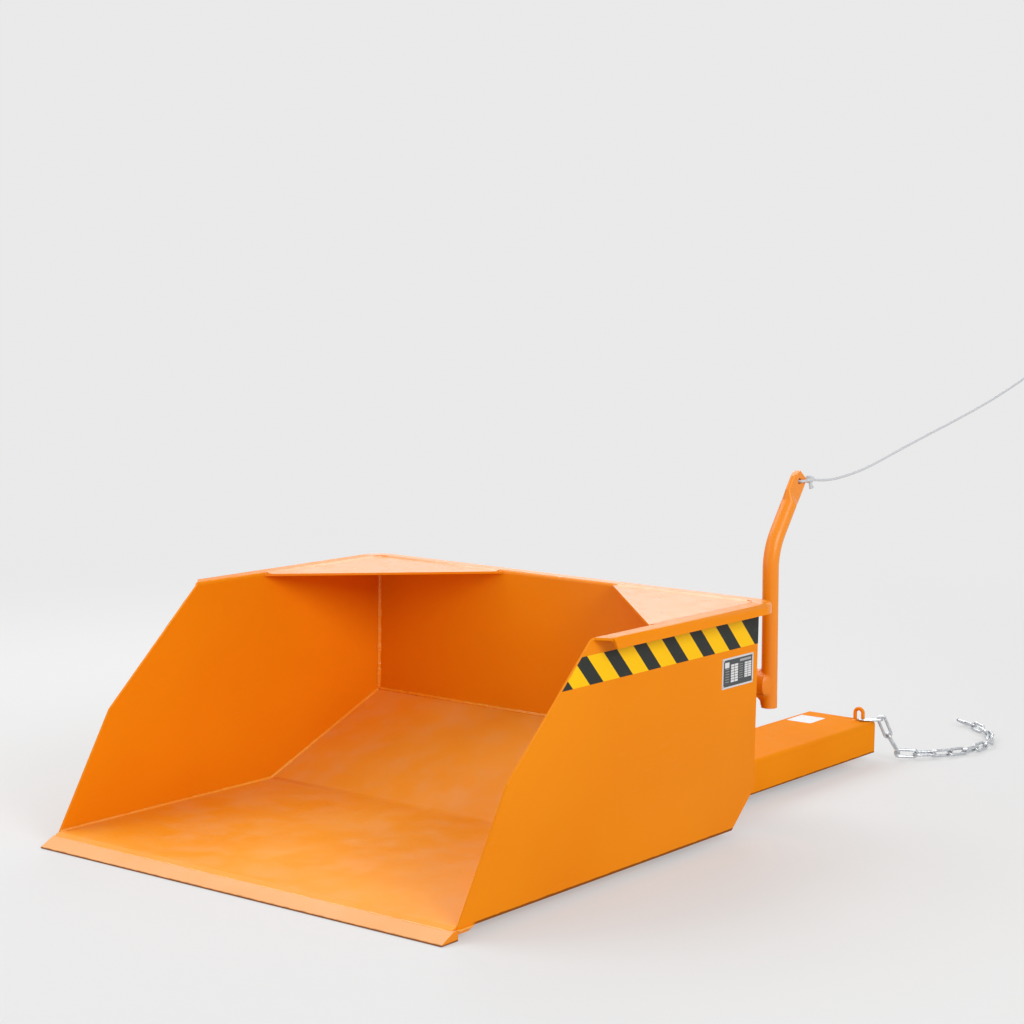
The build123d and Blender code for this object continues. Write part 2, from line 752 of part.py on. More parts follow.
with BuildPart() as bearing_housings:
    for upright_x in (-POCKET_X, POCKET_X):
        with BuildSketch(side_at(upright_x - HOUSING_L / 2)):
            with Locations((SHAFT_D, SHAFT_Z)):
                Circle(HOUSING_R)
                Circle(SHAFT_R + FIT + SHAFT_BUSH_T + FIT, mode=Mode.SUBTRACT)
        extrude(amount=HOUSING_L)
save(bearing_housings, "bearing_housings")

with BuildPart() as bearing_bushes:
    for upright_x in (-POCKET_X, POCKET_X):
        with BuildSketch(side_at(upright_x - HOUSING_L / 2)):
            with Locations((SHAFT_D, SHAFT_Z)):
                Circle(SHAFT_R + FIT + SHAFT_BUSH_T)
                Circle(SHAFT_R + FIT, mode=Mode.SUBTRACT)
        extrude(amount=HOUSING_L)
save(bearing_bushes, "bearing_bushes")


def lever_at(z):
    """Point at height z on the axis of the lever's upright part, which leans forward a little."""
    lean = math.tan(math.radians(LEVER_LEAN))
    return Vector(LEVER_X, LIP_Y + SHAFT_D - (z - SHAFT_Z) * lean, z)


lever_foot = lever_at(LEVER_BOTTOM)
lever_bend = lever_at(LEVER_BEND_Z)
lever_foot_plane = Plane(origin=lever_foot, x_dir=(1, 0, 0), z_dir=lever_bend - lever_foot)

# Cross shaft, coped round the lever tube at its right end
with BuildPart() as release_shaft:
    with BuildSketch(side_at(-SHAFT_END_X)):
        with Locations((SHAFT_D, SHAFT_Z)):
            Circle(SHAFT_R)
            Circle(SHAFT_R - SHAFT_WALL, mode=Mode.SUBTRACT)
    extrude(amount=SHAFT_END_X + LEVER_X)
    with BuildSketch(lever_foot_plane):
        Circle(LEVER_R + FIT)
    extrude(amount=4 * SHAFT_R, mode=Mode.SUBTRACT)
save(release_shaft, "release_shaft")

# Plugs that close its ends, the right one coped as well
with BuildPart() as shaft_plugs:
    plug_start = LEVER_X - LEVER_R - 2 * SHAFT_WALL
    for plug_x, plug_length in (
        (-SHAFT_END_X, SHAFT_WALL),
        (plug_start, LEVER_X - plug_start),
    ):
        with BuildSketch(side_at(plug_x)):
            with Locations((SHAFT_D, SHAFT_Z)):
                Circle(SHAFT_R - SHAFT_WALL - FIT)
        extrude(amount=plug_length)
    with BuildSketch(lever_foot_plane):
        Circle(LEVER_R + FIT)
    extrude(amount=4 * SHAFT_R, mode=Mode.SUBTRACT)
save(shaft_plugs, "shaft_plugs")

# Collars that keep the shaft in place sideways, each with a set screw
with BuildPart() as shaft_collars:
    for collar_x in (-COLLAR_X - COLLAR_L, COLLAR_X):
        with BuildSketch(side_at(collar_x)):
            with Locations((SHAFT_D, SHAFT_Z)):
                Circle(COLLAR_R)
                Circle(SHAFT_R + FIT, mode=Mode.SUBTRACT)
        extrude(amount=COLLAR_L)
    with BuildSketch(level_at(SHAFT_Z + SHAFT_R)):
        with Locations(
            (-COLLAR_X - COLLAR_L / 2, SHAFT_D),
            (COLLAR_X + COLLAR_L / 2, SHAFT_D),
        ):
            Circle(SCREW_R + FIT)
    extrude(amount=COLLAR_R, mode=Mode.SUBTRACT)
save(shaft_collars, "shaft_collars")

with BuildPart() as collar_screws:
    with BuildSketch(level_at(SHAFT_Z + SHAFT_R + FIT)):
        with Locations(
            (-COLLAR_X - COLLAR_L / 2, SHAFT_D),
            (COLLAR_X + COLLAR_L / 2, SHAFT_D),
        ):
            Circle(SCREW_R)
            RegularPolygon(SCREW_R / 2, 6, mode=Mode.SUBTRACT)
    extrude(amount=COLLAR_R - SHAFT_R)
save(collar_screws, "collar_screws")

# Catch pin: its path about the tipping axis runs straight away from the shaft
pivot_from_shaft = math.hypot(SHAFT_D - PIVOT_D, SHAFT_Z - PIVOT_Z)
pivot_angle = math.degrees(math.atan2(PIVOT_Z - SHAFT_Z, PIVOT_D - SHAFT_D)) % 360
catch_angle = pivot_angle - math.degrees(math.acos(HOOK_REACH / pivot_from_shaft))
CATCH_D = SHAFT_D + HOOK_REACH * math.cos(math.radians(catch_angle))
CATCH_Z = SHAFT_Z + HOOK_REACH * math.sin(math.radians(catch_angle))

# Hooks on the shaft, drawn lifted clear of the catch pins
hook_angle = math.radians(catch_angle - HOOK_LIFT)
arm_under = -(CATCH_R + CATCH_GAP)
arm_over = arm_under - HOOK_ARM
nose_in = HOOK_REACH + CATCH_R + CATCH_GAP
nose_out = nose_in + HOOK_NOSE
nose_tip = 0.6 * CATCH_R
with BuildPart() as latch_hooks:
    for hook_x in (-HOOK_X, HOOK_X):
        hook_plane = Plane(
            origin=(hook_x - HOOK_T / 2, LIP_Y + SHAFT_D, SHAFT_Z),
            x_dir=(0, math.cos(hook_angle), math.sin(hook_angle)),
            z_dir=(1, 0, 0),
        )
        with BuildSketch(hook_plane):
            Circle(HOOK_EYE_R)
            Polygon(
                (0, arm_under),
                (nose_in, arm_under),
                (nose_in, nose_tip),
                (nose_in + HOOK_NOSE / 3, nose_tip),
                (nose_out, arm_under),
                (nose_out, arm_over + HOOK_NOSE / 3),
                (nose_out - HOOK_NOSE / 3, arm_over),
                (0, arm_over),
                align=None,
            )
            Circle(SHAFT_R + FIT, mode=Mode.SUBTRACT)
        extrude(amount=HOOK_T)
save(latch_hooks, "latch_hooks")

# Catch lugs and pins on backing plates on the rear wall
catch_in = HOOK_T / 2 + CATCH_SIDE_GAP
catch_out = catch_in + CATCH_LUG_T
catch_face = BUCKET_D + CATCH_PLATE_T
with BuildPart() as catch_backing_plates:
    for hook_x in (-HOOK_X, HOOK_X):
        with BuildSketch(across_at(BUCKET_D)):
            with Locations((hook_x, CATCH_Z)):
                RectangleRounded(2 * catch_out + 4 * CATCH_LUG_T, 6 * CATCH_LUG_R, CATCH_LUG_T)
        extrude(amount=-CATCH_PLATE_T)
save(catch_backing_plates, "catch_backing_plates")

with BuildPart() as catch_lugs:
    for hook_x in (-HOOK_X, HOOK_X):
        for lug_start in (-catch_out, catch_in):
            with BuildSketch(side_at(hook_x + lug_start)):
                with Locations((CATCH_D, CATCH_Z)):
                    Circle(CATCH_LUG_R)
                Polygon(
                    (catch_face, CATCH_Z - 1.8 * CATCH_LUG_R),
                    (CATCH_D, CATCH_Z - CATCH_LUG_R),
                    (CATCH_D, CATCH_Z + CATCH_LUG_R),
                    (catch_face, CATCH_Z + 1.8 * CATCH_LUG_R),
                    align=None,
                )
                with Locations((CATCH_D, CATCH_Z)):
                    Circle(CATCH_R + FIT, mode=Mode.SUBTRACT)
            extrude(amount=CATCH_LUG_T)
save(catch_lugs, "catch_lugs")

with BuildPart() as catch_pins:
    for hook_x in (-HOOK_X, HOOK_X):
        with BuildSketch(side_at(hook_x - catch_out - CATCH_SIDE_GAP)):
            with Locations((CATCH_D, CATCH_Z)):
                Circle(CATCH_R)
        extrude(amount=2 * (catch_out + CATCH_SIDE_GAP))
save(catch_pins, "catch_pins")

# Release lever: tube, upright then tilted to the rear, its top pressed flat and drilled
tilt = math.radians(LEVER_TILT)
lever_dir = Vector(0, math.sin(tilt), math.cos(tilt))
lever_cross = Vector(0, math.cos(tilt), -math.sin(tilt))


def lever_plane(s):
    """Plane across the tilted part at distance s past the bend; its x axis points rearwards."""
    return Plane(origin=lever_bend + lever_dir * s, x_dir=lever_cross, z_dir=lever_dir)


with BuildPart() as release_lever:
    with BuildLine() as lever_path:
        FilletPolyline(
            lever_foot,
            lever_bend,
            lever_bend + lever_dir * LEVER_ROUND,
            radius=[LEVER_BEND_R],
        )
    with BuildSketch(lever_foot_plane):
        Circle(LEVER_R)
        Circle(LEVER_R - LEVER_WALL, mode=Mode.SUBTRACT)
    sweep(path=lever_path.line)
    with BuildSketch(lever_plane(LEVER_ROUND)):
        SlotOverall(2 * LEVER_R - PRESS_STEP, 2 * LEVER_R - 2 * PRESS_STEP)
    with BuildSketch(lever_plane(LEVER_FLAT_START)):
        SlotOverall(BLADE_W, BLADE_T)
    loft()
    with BuildSketch(lever_plane(LEVER_FLAT_START)):
        SlotOverall(BLADE_W, BLADE_T)
    extrude(amount=LEVER_TIP - LEVER_FLAT_START)
    # Its front corner cut off, and the hole for the rope
    blade_side = lever_bend - Vector(BLADE_T, 0, 0)
    with BuildSketch(Plane(origin=blade_side, x_dir=lever_cross, z_dir=(1, 0, 0))):
        Polygon(
            (-BLADE_W / 2 - 1, LEVER_TIP - BLADE_CUT_S),
            (-BLADE_W / 2, LEVER_TIP - BLADE_CUT_S),
            (-BLADE_W / 2 + BLADE_CUT_E, LEVER_TIP),
            (-BLADE_W / 2 + BLADE_CUT_E, LEVER_TIP + 1),
            (-BLADE_W / 2 - 1, LEVER_TIP + 1),
            align=None,
        )
        with Locations((BLADE_HOLE_E, BLADE_HOLE_S)):
            Circle(BLADE_HOLE_R)
    extrude(amount=2 * BLADE_T, mode=Mode.SUBTRACT)
save(release_lever, "release_lever")

# Rope: tied through the hole, then pulled away to the rear
rope_points = [(SHAFT_D + rearwards, LEVER_BEND_Z + upwards) for rearwards, upwards in ROPE_RUN]
rope_start = Vector(LEVER_X, LIP_Y + rope_points[0][0], rope_points[0][1])
rope_second = Vector(LEVER_X, LIP_Y + rope_points[1][0], rope_points[1][1])
rope_out = (rope_second - rope_start).normalized()
hole_at = lever_bend + lever_dir * BLADE_HOLE_S + lever_cross * BLADE_HOLE_E
knot_at = rope_start - rope_out * (KNOT_R + 1)
knot_dir = (knot_at - hole_at).normalized()
knot_reach = (knot_at - hole_at).length
hole_plane = Plane(origin=hole_at, x_dir=(0, knot_dir.Y, knot_dir.Z), z_dir=(0, -knot_dir.Z, knot_dir.Y))
loop_half = BLADE_T / 2 + 1.2 * ROPE_R
loop_back = BLADE_HOLE_R - 1.3 * ROPE_R
loop_front = BLADE_W / 2 - BLADE_HOLE_E + ROPE_R
with BuildPart() as rope_knot:
    with BuildLine(hole_plane) as loop_path:
        FilletPolyline(
            (knot_reach, -1.1 * ROPE_R),
            (loop_front, -loop_half),
            (loop_back, -loop_half),
            (loop_back, loop_half),
            (loop_front, loop_half),
            (knot_reach, 1.1 * ROPE_R),
            radius=[3 * ROPE_R, 1.2 * ROPE_R, 1.2 * ROPE_R, 3 * ROPE_R],
        )
    with BuildSketch(Plane(origin=loop_path.line @ 0, z_dir=loop_path.line % 0)):
        Circle(ROPE_R)
    sweep(path=loop_path.line)
    with Locations(knot_at):
        Sphere(KNOT_R)
    with Locations(Plane(origin=knot_at, x_dir=(0, 1, 0), z_dir=(0.3, 0.25, -1))):
        Cylinder(ROPE_R, 2.6 * KNOT_R, align=(Align.CENTER, Align.CENTER, Align.MIN))
    with BuildSketch(Plane(origin=knot_at, z_dir=rope_out)):
        Circle(ROPE_R + 1)
    extrude(amount=KNOT_R + 1)
save(rope_knot, "rope_knot")

rope_radii = []
for i in range(1, len(rope_points) - 1):
    back = Vector(rope_points[i]) - Vector(rope_points[i - 1])
    ahead = Vector(rope_points[i + 1]) - Vector(rope_points[i])
    half_turn = math.radians(back.get_angle(ahead)) / 2
    rope_radii.append(0.45 * min(back.length, ahead.length) / math.tan(half_turn))
with BuildPart() as pull_rope:
    with BuildLine(side_at(LEVER_X)) as rope_path:
        FilletPolyline(*rope_points, radius=rope_radii)
    with BuildSketch(Plane(origin=rope_path.line @ 0, z_dir=rope_path.line % 0)):
        Circle(ROPE_R)
    sweep(path=rope_path.line)
print("rope radii", [round(r) for r in rope_radii])
rope_length = sum(edge.length for edge in rope_path.edges())
print("rope volume", round(pull_rope.part.volume), "expected", round(math.pi * ROPE_R**2 * rope_length))
save(pull_rope, "pull_rope")

# Hand loop at the far end of the rope
end_plane = Plane(origin=rope_path.line @ 1, x_dir=rope_path.line % 1, z_dir=(1, 0, 0))
with BuildPart() as rope_end_loop:
    with Locations(end_plane):
        Cylinder(KNOT_R - 2, 3 * KNOT_R, rotation=(0, 90, 0), align=(Align.CENTER, Align.CENTER, Align.MIN))
    with BuildLine(end_plane) as end_path:
        FilletPolyline(
            (2.6 * KNOT_R, ROPE_R),
            (5 * KNOT_R, 2.2 * KNOT_R),
            (12 * KNOT_R, 2.2 * KNOT_R),
            (12 * KNOT_R, -2.2 * KNOT_R),
            (5 * KNOT_R, -2.2 * KNOT_R),
            (2.6 * KNOT_R, -ROPE_R),
            radius=[2 * KNOT_R, 2 * KNOT_R, 2 * KNOT_R, 2 * KNOT_R],
        )
    with BuildSketch(Plane(origin=end_path.line @ 0, z_dir=end_path.line % 0)):
        Circle(ROPE_R)
    sweep(path=end_path.line)
save(rope_end_loop, "rope_end_loop")

# Blank sticker on the right pocket
with BuildPart() as pocket_label:
    with BuildSketch(level_at(POCKET_TOP)):
        with Locations((LABEL_X, POCKET_END - LABEL_FROM_END)):
            RectangleRounded(LABEL_W, LABEL_L, LABEL_CORNER_R, rotation=LABEL_TURN)
    extrude(amount=LABEL_T)
save(pocket_label, "pocket_label")

# Chain eye: half ring of round bar on the right pocket
eye_d = POCKET_END - EYE_FROM_END
eye_spring = POCKET_TOP + EYE_H - EYE_R - EYE_HALF
with BuildPart() as chain_eye:
    with BuildLine(across_at(eye_d)) as eye_path:
        eye_leg = Line((EYE_X - EYE_HALF, POCKET_TOP), (EYE_X - EYE_HALF, eye_spring))
        eye_arc = ThreePointArc(
            eye_leg @ 1,
            (EYE_X, eye_spring + EYE_HALF),
            (EYE_X + EYE_HALF, eye_spring),
        )
        Line(eye_arc @ 1, (EYE_X + EYE_HALF, POCKET_TOP))
    with BuildSketch(level_at(POCKET_TOP)):
        with Locations((EYE_X - EYE_HALF, eye_d)):
            Circle(EYE_R)
    sweep(path=eye_path.line)
save(chain_eye, "chain_eye")

# One chain link about its first bow centre, lying along x
with BuildPart() as link:
    with BuildLine() as link_path:
        near_side = Line((LINK_STRAIGHT / 2, -LINK_BOW), (LINK_STRAIGHT, -LINK_BOW))
        far_bow = ThreePointArc(near_side @ 1, (LINK_STRAIGHT + LINK_BOW, 0), (LINK_STRAIGHT, LINK_BOW))
        far_side = Line(far_bow @ 1, (0, LINK_BOW))
        near_bow = ThreePointArc(far_side @ 1, (-LINK_BOW, 0), (0, -LINK_BOW))
        Line(near_bow @ 1, near_side @ 0)
    with BuildSketch(Plane(origin=near_side @ 0, z_dir=(1, 0, 0))):
        Circle(WIRE_R)
    sweep(path=link_path.line)


def link_plane(origin, heading, pitch, roll):
    """Placing of a link: heading in plan from +X, pitch upwards, roll about its length."""
    h = math.radians(heading)
    p = math.radians(pitch)
    r = math.radians(roll)
    along = Vector(math.cos(h) * math.cos(p), math.sin(h) * math.cos(p), math.sin(p))
    side = Vector(-math.sin(h), math.cos(h), 0)
    up = along.cross(side)
    return Plane(origin=origin, x_dir=along, z_dir=up * math.cos(r) + side * math.sin(r))


# Chain: the first link lies round the eye's outer leg
link_planes = []
next_bow = Vector(EYE_X + EYE_HALF, LIP_Y + eye_d, POCKET_TOP + WIRE_R + LINK_REST)
for heading, pitch, roll in CHAIN_RUN:
    placing = link_plane(next_bow, heading, pitch, roll)
    link_planes.append(placing)
    after = (CHAIN_RUN + [SNAP_RUN])[len(link_planes)]
    ahead = link_plane((0, 0, 0), *after).x_dir
    next_bow = placing.from_local_coords((LINK_STRAIGHT + LINK_BOW, 0, 0)) + ahead * LINK_PLAY
with BuildPart() as safety_chain:
    for placing in link_planes:
        with Locations(placing):
            add(link.part)
save(safety_chain, "safety_chain")

# Snap hook on the last link, lying on the ground
snap_plane = link_plane(next_bow, *SNAP_RUN)
snap_pivot = (SNAP_PIVOT_X, SNAP_PIVOT_Y)
with BuildPart() as snap_hook:
    with BuildLine(snap_plane) as snap_path:
        FilletPolyline(
            (SNAP_PIVOT_X - SNAP_R - 1, LINK_BOW),
            (-LINK_BOW, LINK_BOW),
            (-LINK_BOW, -LINK_BOW),
            (SNAP_L, -LINK_BOW - 2),
            (SNAP_L, 2 * LINK_BOW),
            (SNAP_L - SNAP_TIP, 2 * LINK_BOW),
            radius=[LINK_BOW - 0.1, LINK_BOW - 0.1, SNAP_BEND_R, SNAP_BEND_R],
        )
    with BuildSketch(Plane(origin=snap_path.line @ 0, z_dir=snap_path.line % 0)):
        Circle(SNAP_R)
    sweep(path=snap_path.line)
    with BuildSketch(snap_plane.offset(-SNAP_R / 2 + SNAP_SIDE_GAP)):
        with Locations(snap_pivot):
            Circle(SNAP_R - 2 * SNAP_SIDE_GAP)
        Polygon(
            (SNAP_PIVOT_X - SNAP_R - 3, LINK_BOW - SNAP_R + 1),
            (SNAP_PIVOT_X, SNAP_PIVOT_Y - SNAP_R + 0.5),
            (SNAP_PIVOT_X, SNAP_PIVOT_Y + SNAP_R - 0.5),
            (SNAP_PIVOT_X - SNAP_R - 3, LINK_BOW + SNAP_R - 1),
            align=None,
        )
        with Locations(snap_pivot):
            Circle(SNAP_PIN_R + FIT, mode=Mode.SUBTRACT)
    extrude(amount=SNAP_R - 2 * SNAP_SIDE_GAP)
save(snap_hook, "snap_hook")

with BuildPart() as snap_hook_pin:
    with BuildSketch(snap_plane.offset(-SNAP_R)):
        with Locations(snap_pivot):
            Circle(SNAP_PIN_R)
    extrude(amount=2 * SNAP_R)
save(snap_hook_pin, "snap_hook_pin")

# Gate: a bar forked over the hook's tongue
gate_dir = Vector(SNAP_L - SNAP_TIP - SNAP_PIVOT_X, 2 * LINK_BOW - SNAP_PIVOT_Y, 0)
gate_len = gate_dir.length - GATE_TIP_GAP
gate_plane = Plane(
    origin=snap_plane.from_local_coords((*snap_pivot, 0)),
    x_dir=snap_plane.x_dir * gate_dir.normalized().X + snap_plane.y_dir * gate_dir.normalized().Y,
    z_dir=snap_plane.z_dir,
)
with BuildPart() as snap_hook_gate:
    with Locations(gate_plane):
        Sphere(SNAP_R - GATE_CLEAR)
        Cylinder(
            SNAP_R - GATE_CLEAR,
            gate_len,
            rotation=(0, 90, 0),
            align=(Align.CENTER, Align.CENTER, Align.MIN),
        )
    with BuildSketch(gate_plane.offset(-SNAP_R / 2)):
        with Locations((SNAP_R / 2, 0)):
            Rectangle(3.2 * SNAP_R, 3 * SNAP_R)
    extrude(amount=SNAP_R, mode=Mode.SUBTRACT)
    with BuildSketch(gate_plane.offset(-SNAP_R)):
        Circle(SNAP_PIN_R + FIT)
    extrude(amount=2 * SNAP_R, mode=Mode.SUBTRACT)
save(snap_hook_gate, "snap_hook_gate")

print("catch pin", round(CATCH_D, 2), round(CATCH_Z, 2), "knot reach", round(knot_reach, 2))
print("gate pivot", [round(v, 3) for v in gate_plane.origin], "axis", [round(v, 4) for v in gate_plane.z_dir])
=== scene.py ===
import json
import math

import bmesh
import bpy
from mathutils import Matrix, Vector, noise


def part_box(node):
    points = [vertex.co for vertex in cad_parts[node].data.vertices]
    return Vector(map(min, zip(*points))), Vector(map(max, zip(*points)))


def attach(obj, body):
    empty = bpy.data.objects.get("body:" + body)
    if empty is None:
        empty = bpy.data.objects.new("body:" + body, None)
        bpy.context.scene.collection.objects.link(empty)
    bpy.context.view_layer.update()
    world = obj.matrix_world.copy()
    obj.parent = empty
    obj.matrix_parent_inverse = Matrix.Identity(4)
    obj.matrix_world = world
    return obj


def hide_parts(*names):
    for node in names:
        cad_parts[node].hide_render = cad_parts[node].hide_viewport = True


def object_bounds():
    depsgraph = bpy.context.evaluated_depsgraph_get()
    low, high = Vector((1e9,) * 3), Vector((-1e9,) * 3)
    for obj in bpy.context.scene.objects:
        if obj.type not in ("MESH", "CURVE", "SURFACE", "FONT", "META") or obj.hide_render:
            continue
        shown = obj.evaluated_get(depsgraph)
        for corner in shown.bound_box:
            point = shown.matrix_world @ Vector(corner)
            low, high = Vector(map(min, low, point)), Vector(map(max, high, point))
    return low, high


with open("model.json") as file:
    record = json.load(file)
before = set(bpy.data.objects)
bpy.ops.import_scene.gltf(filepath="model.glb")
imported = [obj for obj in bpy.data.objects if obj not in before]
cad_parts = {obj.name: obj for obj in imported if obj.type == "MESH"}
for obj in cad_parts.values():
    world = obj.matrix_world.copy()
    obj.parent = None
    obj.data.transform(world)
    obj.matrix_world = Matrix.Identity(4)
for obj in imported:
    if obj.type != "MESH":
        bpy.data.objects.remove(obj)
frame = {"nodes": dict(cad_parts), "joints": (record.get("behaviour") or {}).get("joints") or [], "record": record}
cad_low, cad_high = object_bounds()
nodes = frame["nodes"]
node_slots = {s["node"]: s["material_slot"] for s in frame["record"]["subparts"]}
joint_places = {j["name"]: Vector(j["pos_m"]) for j in frame["joints"]}
scene = bpy.context.scene
scene.view_settings.view_transform = "Standard"

# Camera, fitted to the photograph: metres, degrees and millimetres of lens
CAMERA_AT = Vector((3.0037, -3.1698, 1.2462))
CAMERA_AZIMUTH = 36.70
CAMERA_DOWN = 6.69
CAMERA_ROLL = 0.967
CAMERA_LENS = 82.13
CAMERA_FAR = 100.0
SENSOR = 36.0

# Colours, as linear values
ORANGE = (0.83, 0.25, 0.005, 1)
ORANGE_DEEP = (0.80, 0.228, 0.004, 1)
ORANGE_RUBBED = (0.88, 0.36, 0.07, 1)
FLOOR_ORANGE = (0.90, 0.35, 0.03, 1)
FLOOR_DEEP = (0.87, 0.30, 0.015, 1)
# Weld beads, paler than the coat: partly their own colour, partly painted highlight that lifts them out of shaded
# corners
WELD_ORANGE = (0.92, 0.38, 0.03, 1)
WELD_DEEP = (0.87, 0.29, 0.012, 1)
# The lip's paler tones: painted sheen for the sky's reflection on its bevel, with some rubbed wear
LIP_ORANGE = (0.88, 0.42, 0.16, 1)
LIP_DEEP = (0.85, 0.36, 0.11, 1)
DUST = (0.80, 0.46, 0.24, 1)
# Painted shade: the dark of the shadow along bottom edges, laid into the coat at the foot
FOOT_SHADE = (0.11, 0.030, 0.007, 1)
STEEL = (0.50, 0.49, 0.47, 1)
STEEL_DARK = (0.26, 0.24, 0.22, 1)
RUST = (0.20, 0.085, 0.035, 1)
ZINC = (0.66, 0.68, 0.70, 1)
ZINC_DULL = (0.48, 0.50, 0.53, 1)
BRONZE = (0.60, 0.37, 0.15, 1)
BRONZE_DARK = (0.42, 0.24, 0.09, 1)
ALUMINIUM = (0.72, 0.72, 0.72, 1)
PRINT_BLACK = (0.030, 0.033, 0.029, 1)
PRINT_YELLOW = (0.92, 0.53, 0.002, 1)
PRINT_DARK = (0.045, 0.052, 0.055, 1)
PRINT_PALE = (0.68, 0.68, 0.68, 1)
ROPE_WHITE = (0.58, 0.59, 0.61, 1)
ROPE_GREY = (0.48, 0.49, 0.51, 1)
LABEL_WHITE = (0.74, 0.75, 0.76, 1)
LABEL_SMUDGE = (0.66, 0.64, 0.61, 1)
STUDIO_PALE = (0.82, 0.82, 0.82, 1)
STUDIO_FLOOR = (0.72, 0.72, 0.72, 1)
WHITE = (1.0, 1.0, 1.0, 1)

# Between these lie most of a noise's values
NOISE_MIDDLE = (0.3, 0.7)


class Surface:
    """A material with one Principled shader, and short ways to add the nodes that feed it."""

    def __init__(self, name, **sockets):
        self.material = bpy.data.materials.new(name)
        self.material.use_nodes = True
        self.tree = self.material.node_tree
        self.shader = self.tree.nodes["Principled BSDF"]
        for socket, value in sockets.items():
            self.shader.inputs[socket.replace("_", " ")].default_value = value
        self.place = self.tree.nodes.new("ShaderNodeTexCoord").outputs["Object"]

    def add(self, kind, inputs, **settings):
        node = self.tree.nodes.new("ShaderNode" + kind)
        for key, value in settings.items():
            setattr(node, key, value)
        for key, value in inputs.items():
            if isinstance(value, bpy.types.NodeSocket):
                self.tree.links.new(value, node.inputs[key])
            else:
                node.inputs[key].default_value = value
        return node

    def axes(self):
        """The place's x, y and z."""
        split = self.add("SeparateXYZ", {0: self.place})
        return split.outputs[0], split.outputs[1], split.outputs[2]

    def upward(self):
        """How far the surface faces up, from -1 to 1."""
        facing = self.add("NewGeometry", {}).outputs["Normal"]
        return self.add("SeparateXYZ", {0: facing}).outputs[2]

    def noise(self, scale, detail=3.0, stretch=(1, 1, 1)):
        """Noise with a scale per metre; a stretch above 1 narrows it along that axis."""
        where = self.add("Mapping", {"Vector": self.place, "Scale": stretch}).outputs[0]
        return self.add("TexNoise", {"Vector": where, "Scale": scale, "Detail": detail}).outputs[0]

    def cells(self, scale):
        return self.add("TexVoronoi", {"Vector": self.place, "Scale": scale}).outputs["Color"]

    def calc(self, operation, a, b=0.0):
        return self.add("Math", {0: a, 1: b}, operation=operation).outputs[0]

    def all_of(self, first, *others):
        """The product of several values."""
        for other in others:
            first = self.calc("MULTIPLY", first, other)
        return first

    def band(self, value, low, high, start=0.0, end=1.0):
        """start below low, end above high, and smooth between them."""
        made = self.add(
            "MapRange",
            {"Value": value, "From Min": low, "From Max": high, "To Min": start, "To Max": end},
            interpolation_type="SMOOTHSTEP",
        )
        return made.outputs[0]

    def share(self, value, low, high):
        """How far a value has come from low to high, as 0 to 1."""
        return self.calc("DIVIDE", self.calc("SUBTRACT", value, low), high - low)

    def within(self, value, low, high):
        """1 between low and high, else 0."""
        return self.all_of(self.calc("GREATER_THAN", value, low), self.calc("LESS_THAN", value, high))

    def in_each(self, value, count, low, high):
        """1 between low and high of each of count equal steps from 0 to 1, else 0."""
        return self.within(self.calc("FRACT", self.calc("MULTIPLY", value, count)), low, high)

    def mix(self, share, a, b):
        return self.add("Mix", {0: share, 6: a, 7: b}, data_type="RGBA").outputs[2]

    def feed(self, socket, value):
        self.tree.links.new(value, self.shader.inputs[socket])

    def roughness(self, value, low, high):
        """Roughness from low to high, following a noise."""
        self.feed("Roughness", self.band(value, *NOISE_MIDDLE, low, high))

    def grain(self, value, depth, strength):
        """Fine bumps of a depth in metres, following a noise."""
        bumps = self.add("Bump", {"Height": value, "Distance": depth, "Strength": strength})
        self.feed("Normal", bumps.outputs[0])


# Powder coat: the rubbed streaks' stretch, what changes the roughness, and how much of the painted shade at the
# foot shows
STREAK_STRETCH = (60, 2.2, 60)
SMOOTHER = 0.04
ROUGHER = 0.05
DUST_ROUGHENS = 0.5
FOOT_SHARE = 0.8
# The edge of the painted shade at the foot, in metres
FOOT_WAVES = 0.003
FOOT_FADE = 0.0025
FOOT_FADE_ALONG = 0.02


